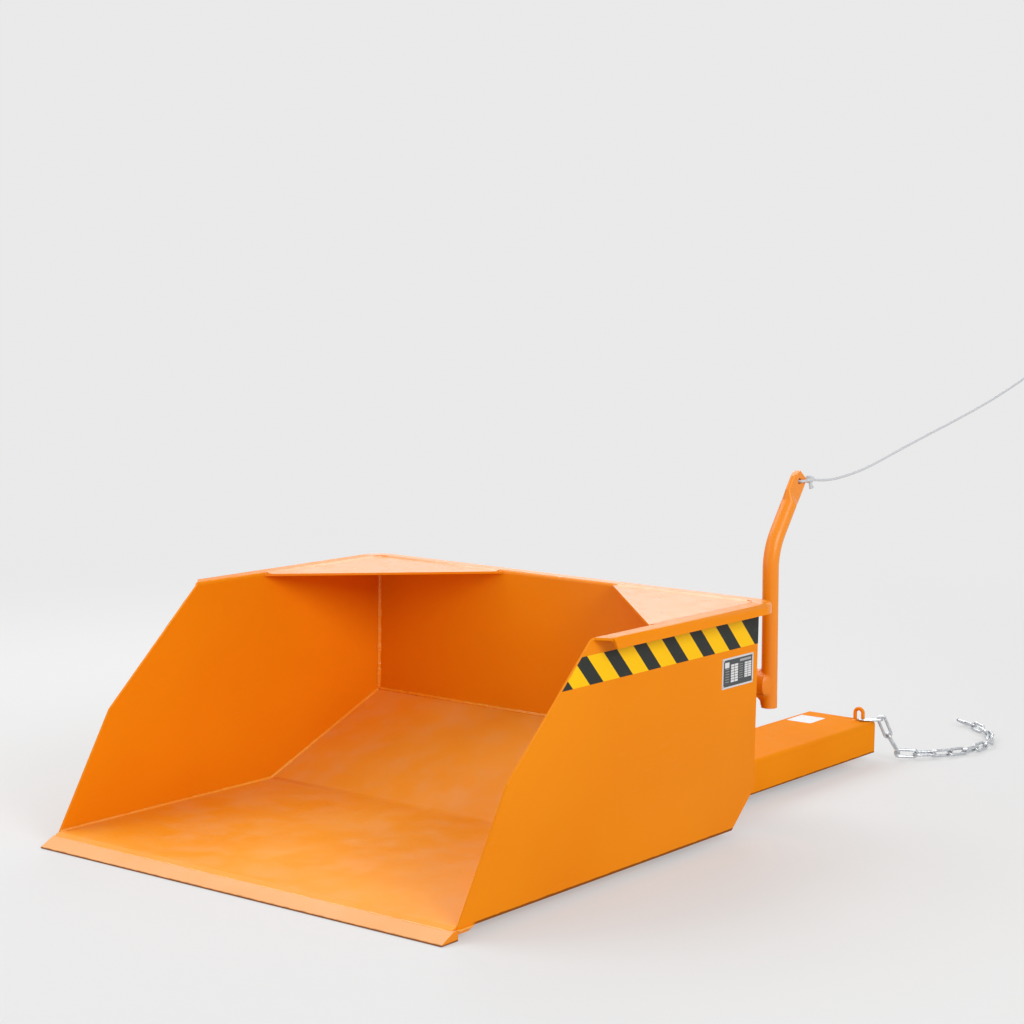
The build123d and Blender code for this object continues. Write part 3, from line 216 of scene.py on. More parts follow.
def paint_material(
    name,
    tones=(ORANGE, ORANGE_DEEP),
    scuffs=0.3,
    dust=0.03,
    rough=0.22,
    specular=0.15,
    foot=None,
    sheen_and_wear_tops=None,
):
    """Orange powder coat. scuffs and dust are how much of each shows.

    foot is a height below which painted shade darkens the coat, for the shadow along a bottom edge, and a place
    along Y from which it does.
    The tones for the faces that look up, where they differ, are paler: painted sheen for the sky's reflection,
    with some rubbed wear.
    """
    s = Surface(name, Specular_IOR_Level=specular)
    patches = s.band(s.noise(scale=2.2, detail=2), low=0.35, high=0.65)
    colour = s.mix(patches, *tones)
    # Painted sheen: paler tones on the faces that look up
    if sheen_and_wear_tops is not None:
        colour = s.mix(s.band(s.upward(), low=0.6, high=0.8), colour, s.mix(patches, *sheen_and_wear_tops))
    streaks = s.band(s.noise(scale=9, detail=5, stretch=STREAK_STRETCH), low=0.60, high=0.74)
    streaked = s.band(s.noise(scale=4.5), low=0.44, high=0.66)
    colour = s.mix(s.all_of(streaks, streaked, scuffs), colour, ORANGE_RUBBED)
    level = s.band(s.upward(), low=0.75, high=0.97)
    settled = s.all_of(level, s.band(s.noise(scale=14, detail=10), low=0.36, high=0.74), dust)
    colour = s.mix(settled, colour, DUST)
    # Painted shade: darker below the foot's height, for the shadow along a bottom edge
    if foot is not None:
        foot_top, foot_start = foot
        _, y, z = s.axes()
        height = s.calc("ADD", z, s.calc("MULTIPLY", s.noise(scale=45, detail=4), -FOOT_WAVES))
        low = s.band(height, foot_top - FOOT_FADE, foot_top, start=FOOT_SHARE, end=0.0)
        behind = s.band(y, foot_start, foot_start + FOOT_FADE_ALONG)
        colour = s.mix(s.all_of(low, behind), colour, FOOT_SHADE)
    s.feed("Base Color", colour)
    clean = s.band(s.noise(scale=30), *NOISE_MIDDLE, rough - SMOOTHER, rough + ROUGHER)
    s.feed("Roughness", s.calc("ADD", clean, s.calc("MULTIPLY", settled, DUST_ROUGHENS)))
    s.grain(s.noise(scale=420, detail=2), depth=0.0004, strength=0.025)
    return s.material


# Hazard film: metres along the band, then shares of one pair of stripes
STRIPE_PERIOD = 0.1008
STRIPE_START = 0.770
STRIPE_PAIRS = 7
YELLOW_SHARE = 0.553
STRIPE_BLUR = 0.004
STRIPE_WAVES = 0.006
END_BLACK = 0.1


def hazard_material():
    """Black and yellow film: stripes that lean back at 45 degrees, black at both ends of the band."""
    s = Surface("hazard_film", Specular_IOR_Level=0.06)
    _, y, z = s.axes()
    along = s.calc("DIVIDE", s.calc("SUBTRACT", s.calc("ADD", y, z), STRIPE_START), STRIPE_PERIOD)
    waves = s.calc("MULTIPLY", s.noise(scale=160, detail=2), STRIPE_WAVES)
    phase = s.calc("ADD", s.calc("FRACT", along), waves)
    black = s.band(phase, YELLOW_SHARE - STRIPE_BLUR, YELLOW_SHARE + STRIPE_BLUR)
    black = s.calc("MAXIMUM", black, s.calc("GREATER_THAN", along, STRIPE_PAIRS - END_BLACK))
    colour = s.mix(black, PRINT_YELLOW, PRINT_BLACK)
    rubbed = s.band(s.noise(scale=9, detail=5, stretch=(50, 3, 50)), low=0.66, high=0.78, end=0.12)
    s.feed("Base Color", s.mix(rubbed, colour, PRINT_PALE))
    s.roughness(s.noise(scale=40), low=0.30, high=0.42)
    s.grain(s.noise(scale=900, detail=1), depth=0.0002, strength=0.08)
    return s.material


# Rating plate: left, bottom, right and top as shares of its width and height
PLATE_PANEL = (0.04, 0.06, 0.96, 0.94)
PLATE_HEADER = (0.08, 0.68, 0.22, 0.86)
PLATE_TITLE = (0.56, 0.80, 0.92, 0.88)
PLATE_BLOCKS = ((0.27, 0.17, 0.51, 0.77), (0.71, 0.23, 0.94, 0.75))
PLATE_ROWS = 7
PLATE_COLUMNS = 2
# Dashes to the left of a block, how pale the fainter prints are, and the bare rim round the panel
DASHES_FROM = 0.17
DASHES_TO = 0.05
TITLE_PALE = 0.45
DASHES_PALE = 0.35
RIM_METALLIC = 0.7


def plate_material():
    """Printed aluminium plate: dark panel, blank header, two blocks of blank cells, and dashes."""
    plate_low, plate_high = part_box("rating_plate")
    s = Surface("plate_print", Specular_IOR_Level=0.4)
    _, y, z = s.axes()
    u = s.share(y, plate_low.y, plate_high.y)
    v = s.share(z, plate_low.z, plate_high.z)

    def area(left, bottom, right, top):
        return s.all_of(s.within(u, left, right), s.within(v, bottom, top))

    panel = area(*PLATE_PANEL)
    marks = s.calc("ADD", area(*PLATE_HEADER), s.calc("MULTIPLY", area(*PLATE_TITLE), TITLE_PALE))
    for left, bottom, right, top in PLATE_BLOCKS:
        across, upwards = s.share(u, left, right), s.share(v, bottom, top)
        rows = s.in_each(upwards, PLATE_ROWS, low=0.10, high=0.90)
        columns = s.in_each(across, PLATE_COLUMNS, low=0.06, high=0.94)
        dashes = s.in_each(upwards, PLATE_ROWS, low=0.36, high=0.66)
        beside = area(left - DASHES_FROM, bottom, left - DASHES_TO, top)
        marks = s.calc("ADD", marks, s.all_of(area(left, bottom, right, top), rows, columns))
        marks = s.calc("ADD", marks, s.all_of(beside, dashes, DASHES_PALE))
    printed = s.mix(marks, PRINT_DARK, PRINT_PALE)
    s.feed("Base Color", s.mix(panel, ALUMINIUM, printed))
    s.feed("Metallic", s.calc("MULTIPLY", s.calc("SUBTRACT", 1.0, panel), RIM_METALLIC))
    s.roughness(s.noise(scale=90, stretch=(1, 1, 14)), low=0.34, high=0.48)
    return s.material


def metal_material(name, light, dark, scale, rough, rust=0.0):
    """Bare metal with a fine grain and perhaps spots of rust; rough is its least and most roughness."""
    s = Surface(name, Metallic=1.0)
    colour = s.mix(s.band(s.noise(scale, detail=4), low=0.35, high=0.65), light, dark)
    if rust > 0.0:
        colour = s.mix(s.band(s.noise(scale / 4, detail=5), low=0.62, high=0.72, end=rust), colour, RUST)
    s.feed("Base Color", colour)
    s.roughness(s.noise(scale * 2), *rough)
    s.grain(s.noise(scale * 3, detail=2), depth=0.0003, strength=0.15)
    return s.material


def zinc_material():
    """Zinc plating: pale, with the patchwork of small crystals."""
    s = Surface("zinc_plating", Metallic=1.0)
    patch = s.add("SeparateColor", {0: s.cells(scale=260)}).outputs[0]
    s.feed("Base Color", s.mix(s.band(patch, low=0.1, high=0.9), ZINC, ZINC_DULL))
    s.roughness(s.noise(scale=150), low=0.24, high=0.40)
    s.grain(s.noise(scale=500, detail=2), depth=0.0002, strength=0.2)
    return s.material


def rope_material():
    """White synthetic fibre with a little grime in patches."""
    s = Surface("rope_fibre", Specular_IOR_Level=0.2, Sheen_Weight=0.05)
    fibres = s.noise(scale=900, stretch=(1, 0.12, 1))
    s.feed("Base Color", s.mix(s.band(s.noise(scale=400), low=0.45, high=0.75), ROPE_WHITE, ROPE_GREY))
    s.roughness(fibres, low=0.75, high=0.92)
    s.grain(fibres, depth=0.0003, strength=0.15)
    return s.material


def label_material():
    """Blank white film with a few smudges."""
    s = Surface("label_film", Specular_IOR_Level=0.3)
    smudge = s.band(s.noise(scale=60, detail=5), low=0.52, high=0.75, end=0.5)
    s.feed("Base Color", s.mix(smudge, LABEL_WHITE, LABEL_SMUDGE))
    s.roughness(s.noise(scale=45, detail=2), low=0.32, high=0.5)
    s.grain(s.noise(scale=300, detail=2), depth=0.0002, strength=0.1)
    return s.material


materials = {
    "orange_paint": paint_material("orange_paint"),
    "hazard_print": hazard_material(),
    "bare_aluminium": metal_material("aluminium", ALUMINIUM, STEEL, scale=200, rough=(0.3, 0.45)),
    "bare_steel": metal_material("turned_steel", STEEL, STEEL_DARK, scale=160, rough=(0.25, 0.42), rust=0.35),
    "zinc": zinc_material(),
    "bronze": metal_material("bronze", BRONZE, BRONZE_DARK, scale=180, rough=(0.28, 0.42)),
    "rope_fibre": rope_material(),
    "label_film": label_material(),
}
# Side walls: painted shade along their bottom edge
wall_paint = paint_material("wall_paint", specular=0.03, foot=(0.0246, 0.06))
tube_paint = paint_material("tube_paint", scuffs=0.0, dust=0.0, rough=0.33, specular=0.38)
# Fork pockets: painted shade along their bottom edge
pocket_paint = paint_material("pocket_paint", rough=0.5, specular=0.01, foot=(0.0235, 0.0))
# Weld beads: a paler tone, partly painted highlight for shaded corners
weld_paint = paint_material("weld_paint", (WELD_ORANGE, WELD_DEEP), scuffs=0.5, rough=0.14, specular=0.5)
special = {
    "floor_plate": paint_material(
        "floor_paint", (FLOOR_ORANGE, FLOOR_DEEP), scuffs=0.6, dust=0.22, rough=0.45
    ),
    # The lip: painted shade along its nose, painted sheen on its bevel
    "cutting_edge": paint_material(
        "edge_paint", scuffs=0.6, dust=0.2, rough=0.34, foot=(0.003, -0.1), sheen_and_wear_tops=(LIP_ORANGE, LIP_DEEP)
    ),
    "side_wall_left": wall_paint,
    "side_wall_right": wall_paint,
    "fork_pocket_left": pocket_paint,
    "fork_pocket_right": pocket_paint,
    "rating_plate": plate_material(),
    "release_lever": tube_paint,
    "release_shaft": tube_paint,
}
for name, node in nodes.items():
    node.data.materials.clear()
    node.data.materials.append(special.get(name, materials[node_slots[name]]))

# Keeps two points in one place from dividing by nothing
SHORTEST_SPAN = 1e-9


def smooth_line(points, resolution=12):
    """Points along the NURBS spline that has the given control points."""
    curve = bpy.data.curves.new("route", "CURVE")
    curve.dimensions = "3D"
    curve.resolution_u = resolution
    spline = curve.splines.new("NURBS")
    spline.points.add(len(points) - 1)
    for place, point in zip(spline.points, points):
        place.co = (*point, 1)
    spline.order_u = 3
    spline.use_endpoint_u = True
    holder = bpy.data.objects.new("route", curve)
    line = bpy.data.meshes.new_from_object(holder)
    found = [v.co.copy() for v in line.vertices]
    bpy.data.objects.remove(holder)
    bpy.data.curves.remove(curve)
    bpy.data.meshes.remove(line)
    return found


def spaced(line, step):
    """Points at an even step along a line of points."""
    lengths = [0.0]
    for a, b in zip(line, line[1:]):
        lengths.append(lengths[-1] + (b - a).length)
    count = max(2, round(lengths[-1] / step) + 1)
    made, i = [], 0
    for k in range(count):
        at = lengths[-1] * k / (count - 1)
        while i < len(line) - 2 and lengths[i + 1] < at:
            i += 1
        span = max(lengths[i + 1] - lengths[i], SHORTEST_SPAN)
        made.append(line[i].lerp(line[i + 1], (at - lengths[i]) / span))
    return made


def heading(line, i):
    """Direction of a line of points at its point i."""
    return (line[min(i + 1, len(line) - 1)] - line[max(i - 1, 0)]).normalized()


def skin(bm, rings):
    """Join rings of points into a closed tube."""
    made = [[bm.verts.new(p) for p in ring] for ring in rings]
    for a, b in zip(made, made[1:]):
        for k in range(len(a)):
            m = (k + 1) % len(a)
            bm.faces.new((a[k], a[m], b[m], b[k]))
    bm.faces.new(made[0])
    bm.faces.new(made[-1])


def new_piece(name, bm, material, body, crease=None):
    """A mesh object that rides on a body, smooth but for edges sharper than crease, an angle in degrees."""
    mesh = bpy.data.meshes.new(name)
    bmesh.ops.recalc_face_normals(bm, faces=bm.faces)
    bm.to_mesh(mesh)
    bm.free()
    mesh.polygons.foreach_set("use_smooth", [True] * len(mesh.polygons))
    if crease is not None:
        mesh.set_sharp_from_angle(angle=math.radians(crease))
    mesh.materials.append(material)
    piece = bpy.data.objects.new(name, mesh)
    scene.collection.objects.link(piece)
    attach(piece, body)
    return piece


# Rope: laid in three strands
ROPE_D = 0.006
ROPE_LAY = 0.021
ROPE_STEP = 0.0012
ROPE_SIDES = 18
ROPE_STRANDS = 3
STRAND_RELIEF = 0.06
WRAP_REACH = 1.02 * ROPE_D
WRAP_POINTS = 8


def laid_rope(bm, line):
    """Laid rope along a line of points."""
    line = spaced(line, ROPE_STEP)
    side = heading(line, 0).orthogonal().normalized()
    rings = []
    for i, point in enumerate(line):
        ahead = heading(line, i)
        side = (side - ahead * side.dot(ahead)).normalized()
        up = ahead.cross(side)
        turn = 2 * math.pi * i * ROPE_STEP / ROPE_LAY
        ring = []
        for k in range(ROPE_SIDES):
            angle = 2 * math.pi * k / ROPE_SIDES
            strand = abs(math.cos(ROPE_STRANDS / 2 * (angle - turn)))
            reach = ROPE_D / 2 * (1 - STRAND_RELIEF + STRAND_RELIEF * strand)
            ring.append(point + (side * math.cos(angle) + up * math.sin(angle)) * reach)
        rings.append(ring)
    skin(bm, rings)


def wrapped(start, ahead, length, turns, lead):
    """Control points of rope wound round a line; lead is the side that the winding starts on."""
    steps = WRAP_POINTS * turns
    lead = (lead - ahead * lead.dot(ahead)).normalized()
    other = ahead.cross(lead)
    points = []
    for i in range(steps + 1):
        angle = 2 * math.pi * i / WRAP_POINTS
        aside = (lead * math.cos(angle) + other * math.sin(angle)) * WRAP_REACH
        points.append(start + ahead * (length * i / steps) + aside)
    return points


# Lever below and above its bend, and its hole
LEVER_X = 0.480
LEVER_BEND_Z = 0.590
LEVER_LEAN = math.radians(2)
LEVER_TILT = math.radians(36.5)
HOLE_ALONG = 0.175
HOLE_ACROSS = -0.002

# Rope route: rearwards from the shaft and upwards from the lever's bend
ROPE_RUN = [
    (0.157, 0.1405),
    (0.215, 0.1335),
    (0.290, 0.136),
    (0.375, 0.144),
    (0.455, 0.1575),
    (0.600, 0.1875),
    (0.900, 0.243),
    (1.100, 0.285),
    (1.278, 0.332),
]
shaft_at = joint_places["lever_pull"]


def lever_middle(rise):
    """Where the lever tube's middle is along Y, at a height above the shaft's middle and below the bend."""
    return shaft_at.y - rise * math.tan(LEVER_LEAN)


lever_bend = Vector((LEVER_X, lever_middle(LEVER_BEND_Z - shaft_at.z), LEVER_BEND_Z))
rope_points = [Vector((LEVER_X, shaft_at.y + back, LEVER_BEND_Z + up)) for back, up in ROPE_RUN]
rope_line = smooth_line(rope_points)
bm = bmesh.new()
laid_rope(bm, rope_line)
rope = new_piece("pull_rope_laid", bm, materials["rope_fibre"], "lever")
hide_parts("pull_rope")

# Knot: a bight through the lever's hole, wound round, with two tails; along the pull and across the blade
BIGHT = [
    (0.052, -0.0033),
    (0.040, -0.0088),
    (0.028, -0.0102),
    (0.012, -0.0102),
    (0.0015, -0.0104),
    (0.0015, 0.0104),
    (0.012, 0.0102),
    (0.028, 0.0102),
    (0.040, 0.0088),
    (0.052, 0.0033),
]
KNOT_BEFORE = 0.010
KNOT_LENGTH = 0.017
KNOT_TURNS = 3
CORE_PAST = 0.001
TAIL_ASIDE = 0.3
TAIL_LEANS = (-0.2, 0.25)
TAIL_ENDS = (0.003, 0.021)
across = Vector((1, 0, 0))
tilted = Vector((0, math.sin(LEVER_TILT), math.cos(LEVER_TILT)))
hole_at = lever_bend + tilted * HOLE_ALONG + across.cross(tilted) * -HOLE_ACROSS
rope_out = (rope_points[1] - rope_points[0]).normalized()
knot_at = rope_points[0] - rope_out * KNOT_BEFORE
knot_start = knot_at - rope_out * KNOT_LENGTH / 2
to_knot = (knot_at - hole_at).normalized()
bm = bmesh.new()
laid_rope(bm, smooth_line([hole_at + to_knot * a + across * b for a, b in BIGHT]))
laid_rope(bm, smooth_line([knot_start] + wrapped(knot_start, rope_out, KNOT_LENGTH, KNOT_TURNS, across)))
for lean in TAIL_LEANS:
    hang = Vector((TAIL_ASIDE, lean, -1)).normalized()
    laid_rope(bm, [knot_at + hang * reach for reach in TAIL_ENDS])
laid_rope(bm, [knot_start, rope_points[0] + rope_out * CORE_PAST])
knot = new_piece("knot_laid", bm, materials["rope_fibre"], "lever")
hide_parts("rope_knot")

# Hand loop at the far end: onwards along the rope and across it, with a whipping wound round its foot
HAND_LOOP = [
    (0.002, 0.002),
    (0.022, 0.003),
    (0.044, 0.0190),
    (0.074, 0.0205),
    (0.104, 0.0185),
    (0.107, 0.0),
    (0.104, -0.0185),
    (0.074, -0.0205),
    (0.044, -0.0190),
    (0.022, -0.003),
    (0.002, -0.002),
]
WHIPPING_LENGTH = 0.024
WHIPPING_TURNS = 4
end_out = (rope_points[-1] - rope_points[-2]).normalized()
end_up = across.cross(end_out)
bm = bmesh.new()
laid_rope(bm, smooth_line([rope_points[-1] + end_out * a + end_up * b for a, b in HAND_LOOP]))
laid_rope(bm, smooth_line(wrapped(rope_points[-1], end_out, WHIPPING_LENGTH, WHIPPING_TURNS, across)))
hand_loop = new_piece("hand_loop_laid", bm, materials["rope_fibre"], "lever")
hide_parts("rope_end_loop")

# Weld beads: lengths in metres
BEAD_STEP = 0.0018
BEAD_PITCH = 0.0065
BEAD_SINK = 0.0015
# Form of a bead, as shares of its size; lumps are scales per metre with their shares
BEAD_RIPPLE = 0.22
BEAD_CURL = 0.4
BEAD_CROWN = 0.8
BEAD_END = 0.45
BEAD_END_GROWS = 0.2
BEAD_LUMPS = ((55, 0.34), (170, 0.22))
# Points round a bead and round the arcs, half of a right angle, and where a bead's underside begins
BEAD_SIDES = 16
ARC_STEPS = 40
EYE_STEPS = 20
CORNER_HALF = math.pi / 4
BARELY_UNDER = 0.01


def bead(bm, points, outward, size):
    """Weld bead along a line, sunk into the two sides of the corner that it fills by no more than BEAD_SINK.

    outward, a direction or a function of the place, points out of that corner.
    """
    line = spaced([Vector(p) for p in points], BEAD_STEP)
    rings = []
    for i, point in enumerate(line):
        ahead = heading(line, i)
        out = Vector(outward(point) if callable(outward) else outward)
        out = (out - ahead * out.dot(ahead)).normalized()
        side = ahead.cross(out)
        taper = min(1.0, BEAD_END + BEAD_END_GROWS * min(i, len(line) - 1 - i))
        lump = 1 + sum(share * noise.noise(point * scale) for scale, share in BEAD_LUMPS)
        ring = []
        for k in range(BEAD_SIDES):
            angle = 2 * math.pi * k / BEAD_SIDES
            crest = abs(math.sin(math.pi * (i * BEAD_STEP / BEAD_PITCH + BEAD_CURL * math.cos(angle))))
            ripple = 1 - BEAD_RIPPLE + BEAD_RIPPLE * crest
            turned = min(angle, 2 * math.pi - angle)
            crown = min(1.0, BEAD_CROWN * (1 + turned / math.pi))
            reach = size * taper * lump * ripple * crown
            under = math.sin(turned - CORNER_HALF)
            if under > BARELY_UNDER:
                reach = min(reach, BEAD_SINK / under)
            ring.append(point + (out * math.cos(angle) + side * math.sin(angle)) * reach)
        rings.append(ring)
    skin(bm, rings)


def mirrored(points):
    return [(-x, y, z) for x, y, z in points]


def both_sides(bm, points, outward, size):
    """The same bead on the right and, mirrored, on the left."""
    bead(bm, points, outward, size)
    bead(bm, mirrored(points), (-outward[0], outward[1], outward[2]), size)


def faces(middle, half):
    """The two faces of a plate along X: where each is, and which way it looks."""
    return (middle - half, -1), (middle + half, 1)


def outline_beads(bm, place, half_across, half_along, outward, size):
    """Beads round a rectangle with two half sides, right and left; outward leaves the face it stands on."""
    place, half_across, half_along, outward = (Vector(v) for v in (place, half_across, half_along, outward))
    corners = [place + half_across * a + half_along * b for a, b in ((-1, -1), (1, -1), (1, 1), (-1, 1))]
    for i, corner in enumerate(corners):
        following = corners[(i + 1) % 4]
        away = ((corner + following) / 2 - place).normalized() + outward
        both_sides(bm, [corner, following], away, size)


def ring_beads(bm, x, lean, radius, start, end, size):
    """Arc of bead round the shaft's line at x on both sides, on the face that looks to lean along X."""
    turns = [math.radians(start + (end - start) * i / ARC_STEPS) for i in range(ARC_STEPS + 1)]
    points = [(x, shaft_at.y + radius * math.cos(t), shaft_at.z + radius * math.sin(t)) for t in turns]

    def outward(point):
        hand = math.copysign(1, point.x)
        return hand * lean, (point.y - shaft_at.y) / radius, (point.z - shaft_at.z) / radius

    bead(bm, points, outward, size)
    bead(bm, mirrored(points), outward, size)


def eye_bead(bm, centre):
    """Ring of bead round one foot of the chain eye."""
    turns = [2 * math.pi * i / EYE_STEPS for i in range(EYE_STEPS + 1)]
    ring = [centre + Vector((math.cos(t), math.sin(t), 0)) * EYE_R for t in turns]
    bead(bm, ring, lambda p: (p.x - centre.x, p.y - centre.y, EYE_R), EYE_BEAD)


# Sizes of the beads, in metres
CORNER_BEAD = 0.0070
FLOOR_BEAD = 0.0044
RAMP_BEAD = 0.0050
SEAM_BEAD = 0.0021
GUSSET_BEAD = 0.0034
PLATE_BEAD = 0.0042
THIN_BEAD = 0.0036
LIP_BEAD = 0.0052
POCKET_BEAD = 0.0040
UPRIGHT_BEAD = 0.0048
BEAM_BEAD = 0.0046
TIE_BEAD = 0.0038
EYE_BEAD = 0.0026

# Inside of the bucket
floor_low, floor_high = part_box("floor_plate")
gusset_low, gusset_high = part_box("corner_gusset_right")
INNER_X, REAR_Y, RAMP_TOP = floor_high
FLOOR_START_Y = 0.026
FLOOR_TOP = 0.026
RAMP_START_Y = 0.656
GUSSET_BEAD_START = 0.004
BEVEL_OUT = (0, -0.46, 0.89)
SEAM_SINK = 0.0016
rear_foot = (INNER_X, REAR_Y, RAMP_TOP)
rear_top = (INNER_X, REAR_Y, gusset_low.z)
lip_seam = (INNER_X, floor_low.y, floor_low.z - SEAM_SINK)
bm = bmesh.new()
both_sides(bm, [rear_foot, rear_top], (-1, -1, 0), CORNER_BEAD)
floor_side = [(INNER_X, FLOOR_START_Y, FLOOR_TOP), (INNER_X, RAMP_START_Y, FLOOR_TOP), rear_foot]
both_sides(bm, floor_side, (-1, 0, 1), FLOOR_BEAD)
bead(bm, mirrored([rear_foot]) + [rear_foot], (0, -1, 1), RAMP_BEAD)
bead(bm, mirrored([lip_seam]) + [lip_seam], BEVEL_OUT, SEAM_BEAD)
gusset_front = (INNER_X, gusset_low.y + GUSSET_BEAD_START, gusset_low.z)
both_sides(bm, [gusset_front, rear_top], (-1, 0, -1), GUSSET_BEAD)
gusset_end = (gusset_low.x + GUSSET_BEAD_START, REAR_Y, gusset_low.z)
both_sides(bm, [gusset_end, rear_top], (0, -1, -1), GUSSET_BEAD)
new_piece("bucket_inner_welds", bm, weld_paint, "bucket")

# Welds on top of the gussets, ground off level with the rim: inwards from the wall's inner face, and height
RIM_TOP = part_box("rear_wall")[1].z
LEVELLED = [
    (-0.0055, RIM_TOP - 0.0002),
    (-0.0035, RIM_TOP - 0.0004),
    (0.0000, RIM_TOP - 0.0010),
    (0.0040, RIM_TOP - 0.0018),
    (0.0090, RIM_TOP - 0.0026),
    (0.0120, gusset_high.z + 0.0001),
    (0.0110, gusset_high.z - 0.0010),
    (-0.0045, gusset_high.z - 0.0010),
]
LEVELLED_START = 0.014
LEVELLED_CREASE = 30
CORNER_STEPS = 12
QUARTER_TURN = math.pi / 2
corner_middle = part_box("rim_corner_right")[0]
CORNER_R = INNER_X - corner_middle.x


def levelled_ring(hand, x, y, turn):
    """The weld's outline, CORNER_R from a place and turned from the side wall towards the rear wall."""
    ring = []
    for inwards, z in LEVELLED:
        reach = CORNER_R - inwards
        ring.append(Vector((hand * (x + reach * math.cos(turn)), y + reach * math.sin(turn), z)))
    return ring


corner_turns = [QUARTER_TURN * i / CORNER_STEPS for i in range(CORNER_STEPS + 1)]
levelled_line = [(corner_middle.x, gusset_low.y + LEVELLED_START, 0.0)]
levelled_line += [(corner_middle.x, corner_middle.y, turn) for turn in corner_turns]
levelled_line += [(gusset_low.x + LEVELLED_START, corner_middle.y, QUARTER_TURN)]
bm = bmesh.new()
for hand in (1, -1):
    skin(bm, [levelled_ring(hand, *place) for place in levelled_line])
new_piece("gusset_top_welds", bm, materials["orange_paint"], "bucket", crease=LEVELLED_CREASE)

# Outside of the bucket: catches on the rear wall, ribs and hinge lugs under the ramp, bars under the floor
POCKET_X = 0.294
CATCH_X = 0.240
REAR_BACK_Y = 1.037
CATCH_PLATE_Z = 0.3521
CATCH_PLATE_HALVES = (0.0405, 0.057)
CATCH_PLATE_BACK_Y = 1.045
CATCH_LUG_XS = (0.2245, 0.2555)
CATCH_LUG_HALF = 0.005
CATCH_LUG_ZS = (0.320, 0.384)
UNDER_RAMP_LEAN = 0.2
RIB_X = 0.450
RIB_HALF = 0.003
RIB_ENDS = ((0.698, 0.0363), (1.025, 0.1677))
HINGE_LUG_HALF = 0.0075
HINGE_LUG_ENDS = ((0.802, 0.0782), (0.858, 0.1007))
FLOOR_UNDER = 0.020
WEAR_BAR_XS = (-0.330, 0.0, 0.330)
WEAR_BAR_HALF = 0.030
WEAR_BAR_YS = (0.085, 0.632)
WALL_OUT_X = 0.520
LIP_END_YS = (0.020, 0.066)
STRIP_HALF = 0.518
STRIP_BACK_Y = 0.071
bm = bmesh.new()
half_width, half_height = CATCH_PLATE_HALVES
catch_plate = (CATCH_X, REAR_BACK_Y, CATCH_PLATE_Z)
outline_beads(bm, catch_plate, (half_width, 0, 0), (0, 0, half_height), (0, 1, 0), PLATE_BEAD)
for lug_x in CATCH_LUG_XS:
    for x, aside in faces(lug_x, CATCH_LUG_HALF):
        both_sides(bm, [(x, CATCH_PLATE_BACK_Y, z) for z in CATCH_LUG_ZS], (aside, 1, 0), THIN_BEAD)
for x, aside in faces(RIB_X, RIB_HALF):
    both_sides(bm, [(x, y, z) for y, z in RIB_ENDS], (aside, UNDER_RAMP_LEAN, -1), THIN_BEAD)
for x, aside in faces(POCKET_X, HINGE_LUG_HALF):
    both_sides(bm, [(x, y, z) for y, z in HINGE_LUG_ENDS], (aside, UNDER_RAMP_LEAN, -1), PLATE_BEAD)
for middle in WEAR_BAR_XS:
    for x, aside in faces(middle, WEAR_BAR_HALF):
        bead(bm, [(x, y, FLOOR_UNDER) for y in WEAR_BAR_YS], (aside, 0, -1), PLATE_BEAD)
both_sides(bm, [(WALL_OUT_X, y, FLOOR_UNDER) for y in LIP_END_YS], (1, 0, -1), LIP_BEAD)
bead(bm, [(x, STRIP_BACK_Y, FLOOR_UNDER) for x in (-STRIP_HALF, STRIP_HALF)], (0, 1, -1), THIN_BEAD)
new_piece("bucket_outer_welds", bm, weld_paint, "bucket")

# Frame: hinge ears, pocket fronts, uprights, bucket stops, cross beam, tie bar, bearings and chain eye
EAR_HALF = 0.023
EAR_Y = 0.864
EAR_ZS = (0.028, 0.072)
POCKET_FRONT_Y = 0.876
POCKET_HALF = 0.094
POCKET_FRONT_HALF = 0.090
POCKET_FRONT_TOP = 0.0901
POCKET_FRONT_ZS = (0.022, 0.088)
POCKET_TOP = 0.097
UPRIGHT_Y = 1.158
UPRIGHT_HALVES = (0.0075, 0.075)
STOP_Y = 1.037
STOP_HALVES = (0.030, 0.015)
POCKET_INNER_X = 0.200
BEAM_Y = 1.158
BEAM_Z = 0.058
BEAM_HALF = 0.030
TIE_Y = 1.718
TIE_Z = 0.033
TIE_HALVES = (0.025, 0.005)
HOUSING_R = 0.046
HOUSING_ARC = (211, 329)
eye_low, eye_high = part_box("chain_eye")
EYE_R = (eye_high.y - eye_low.y) / 2
bm = bmesh.new()
for x, aside in faces(POCKET_X, EAR_HALF):
    both_sides(bm, [(x, EAR_Y, z) for z in EAR_ZS], (aside, -1, 0), PLATE_BEAD)
pocket_fronts = [x for x, _ in faces(POCKET_X, POCKET_FRONT_HALF)]
both_sides(bm, [(x, POCKET_FRONT_Y, POCKET_FRONT_TOP) for x in pocket_fronts], (0, -1, 1), POCKET_BEAD)
for x, aside in faces(POCKET_X, POCKET_HALF):
    both_sides(bm, [(x, POCKET_FRONT_Y, z) for z in POCKET_FRONT_ZS], (aside, 1, 0), POCKET_BEAD)
for middle_y, (half_x, half_y), size in (
    (UPRIGHT_Y, UPRIGHT_HALVES, UPRIGHT_BEAD),
    (STOP_Y, STOP_HALVES, PLATE_BEAD),
):
    outline_beads(bm, (POCKET_X, middle_y, POCKET_TOP), (half_x, 0, 0), (0, half_y, 0), (0, 0, 1), size)
for middle_y, middle_z, (half_y, half_z), size in (
    (BEAM_Y, BEAM_Z, (BEAM_HALF, BEAM_HALF), BEAM_BEAD),
    (TIE_Y, TIE_Z, TIE_HALVES, TIE_BEAD),
):
    outline_beads(bm, (POCKET_INNER_X, middle_y, middle_z), (0, half_y, 0), (0, 0, half_z), (-1, 0, 0), size)
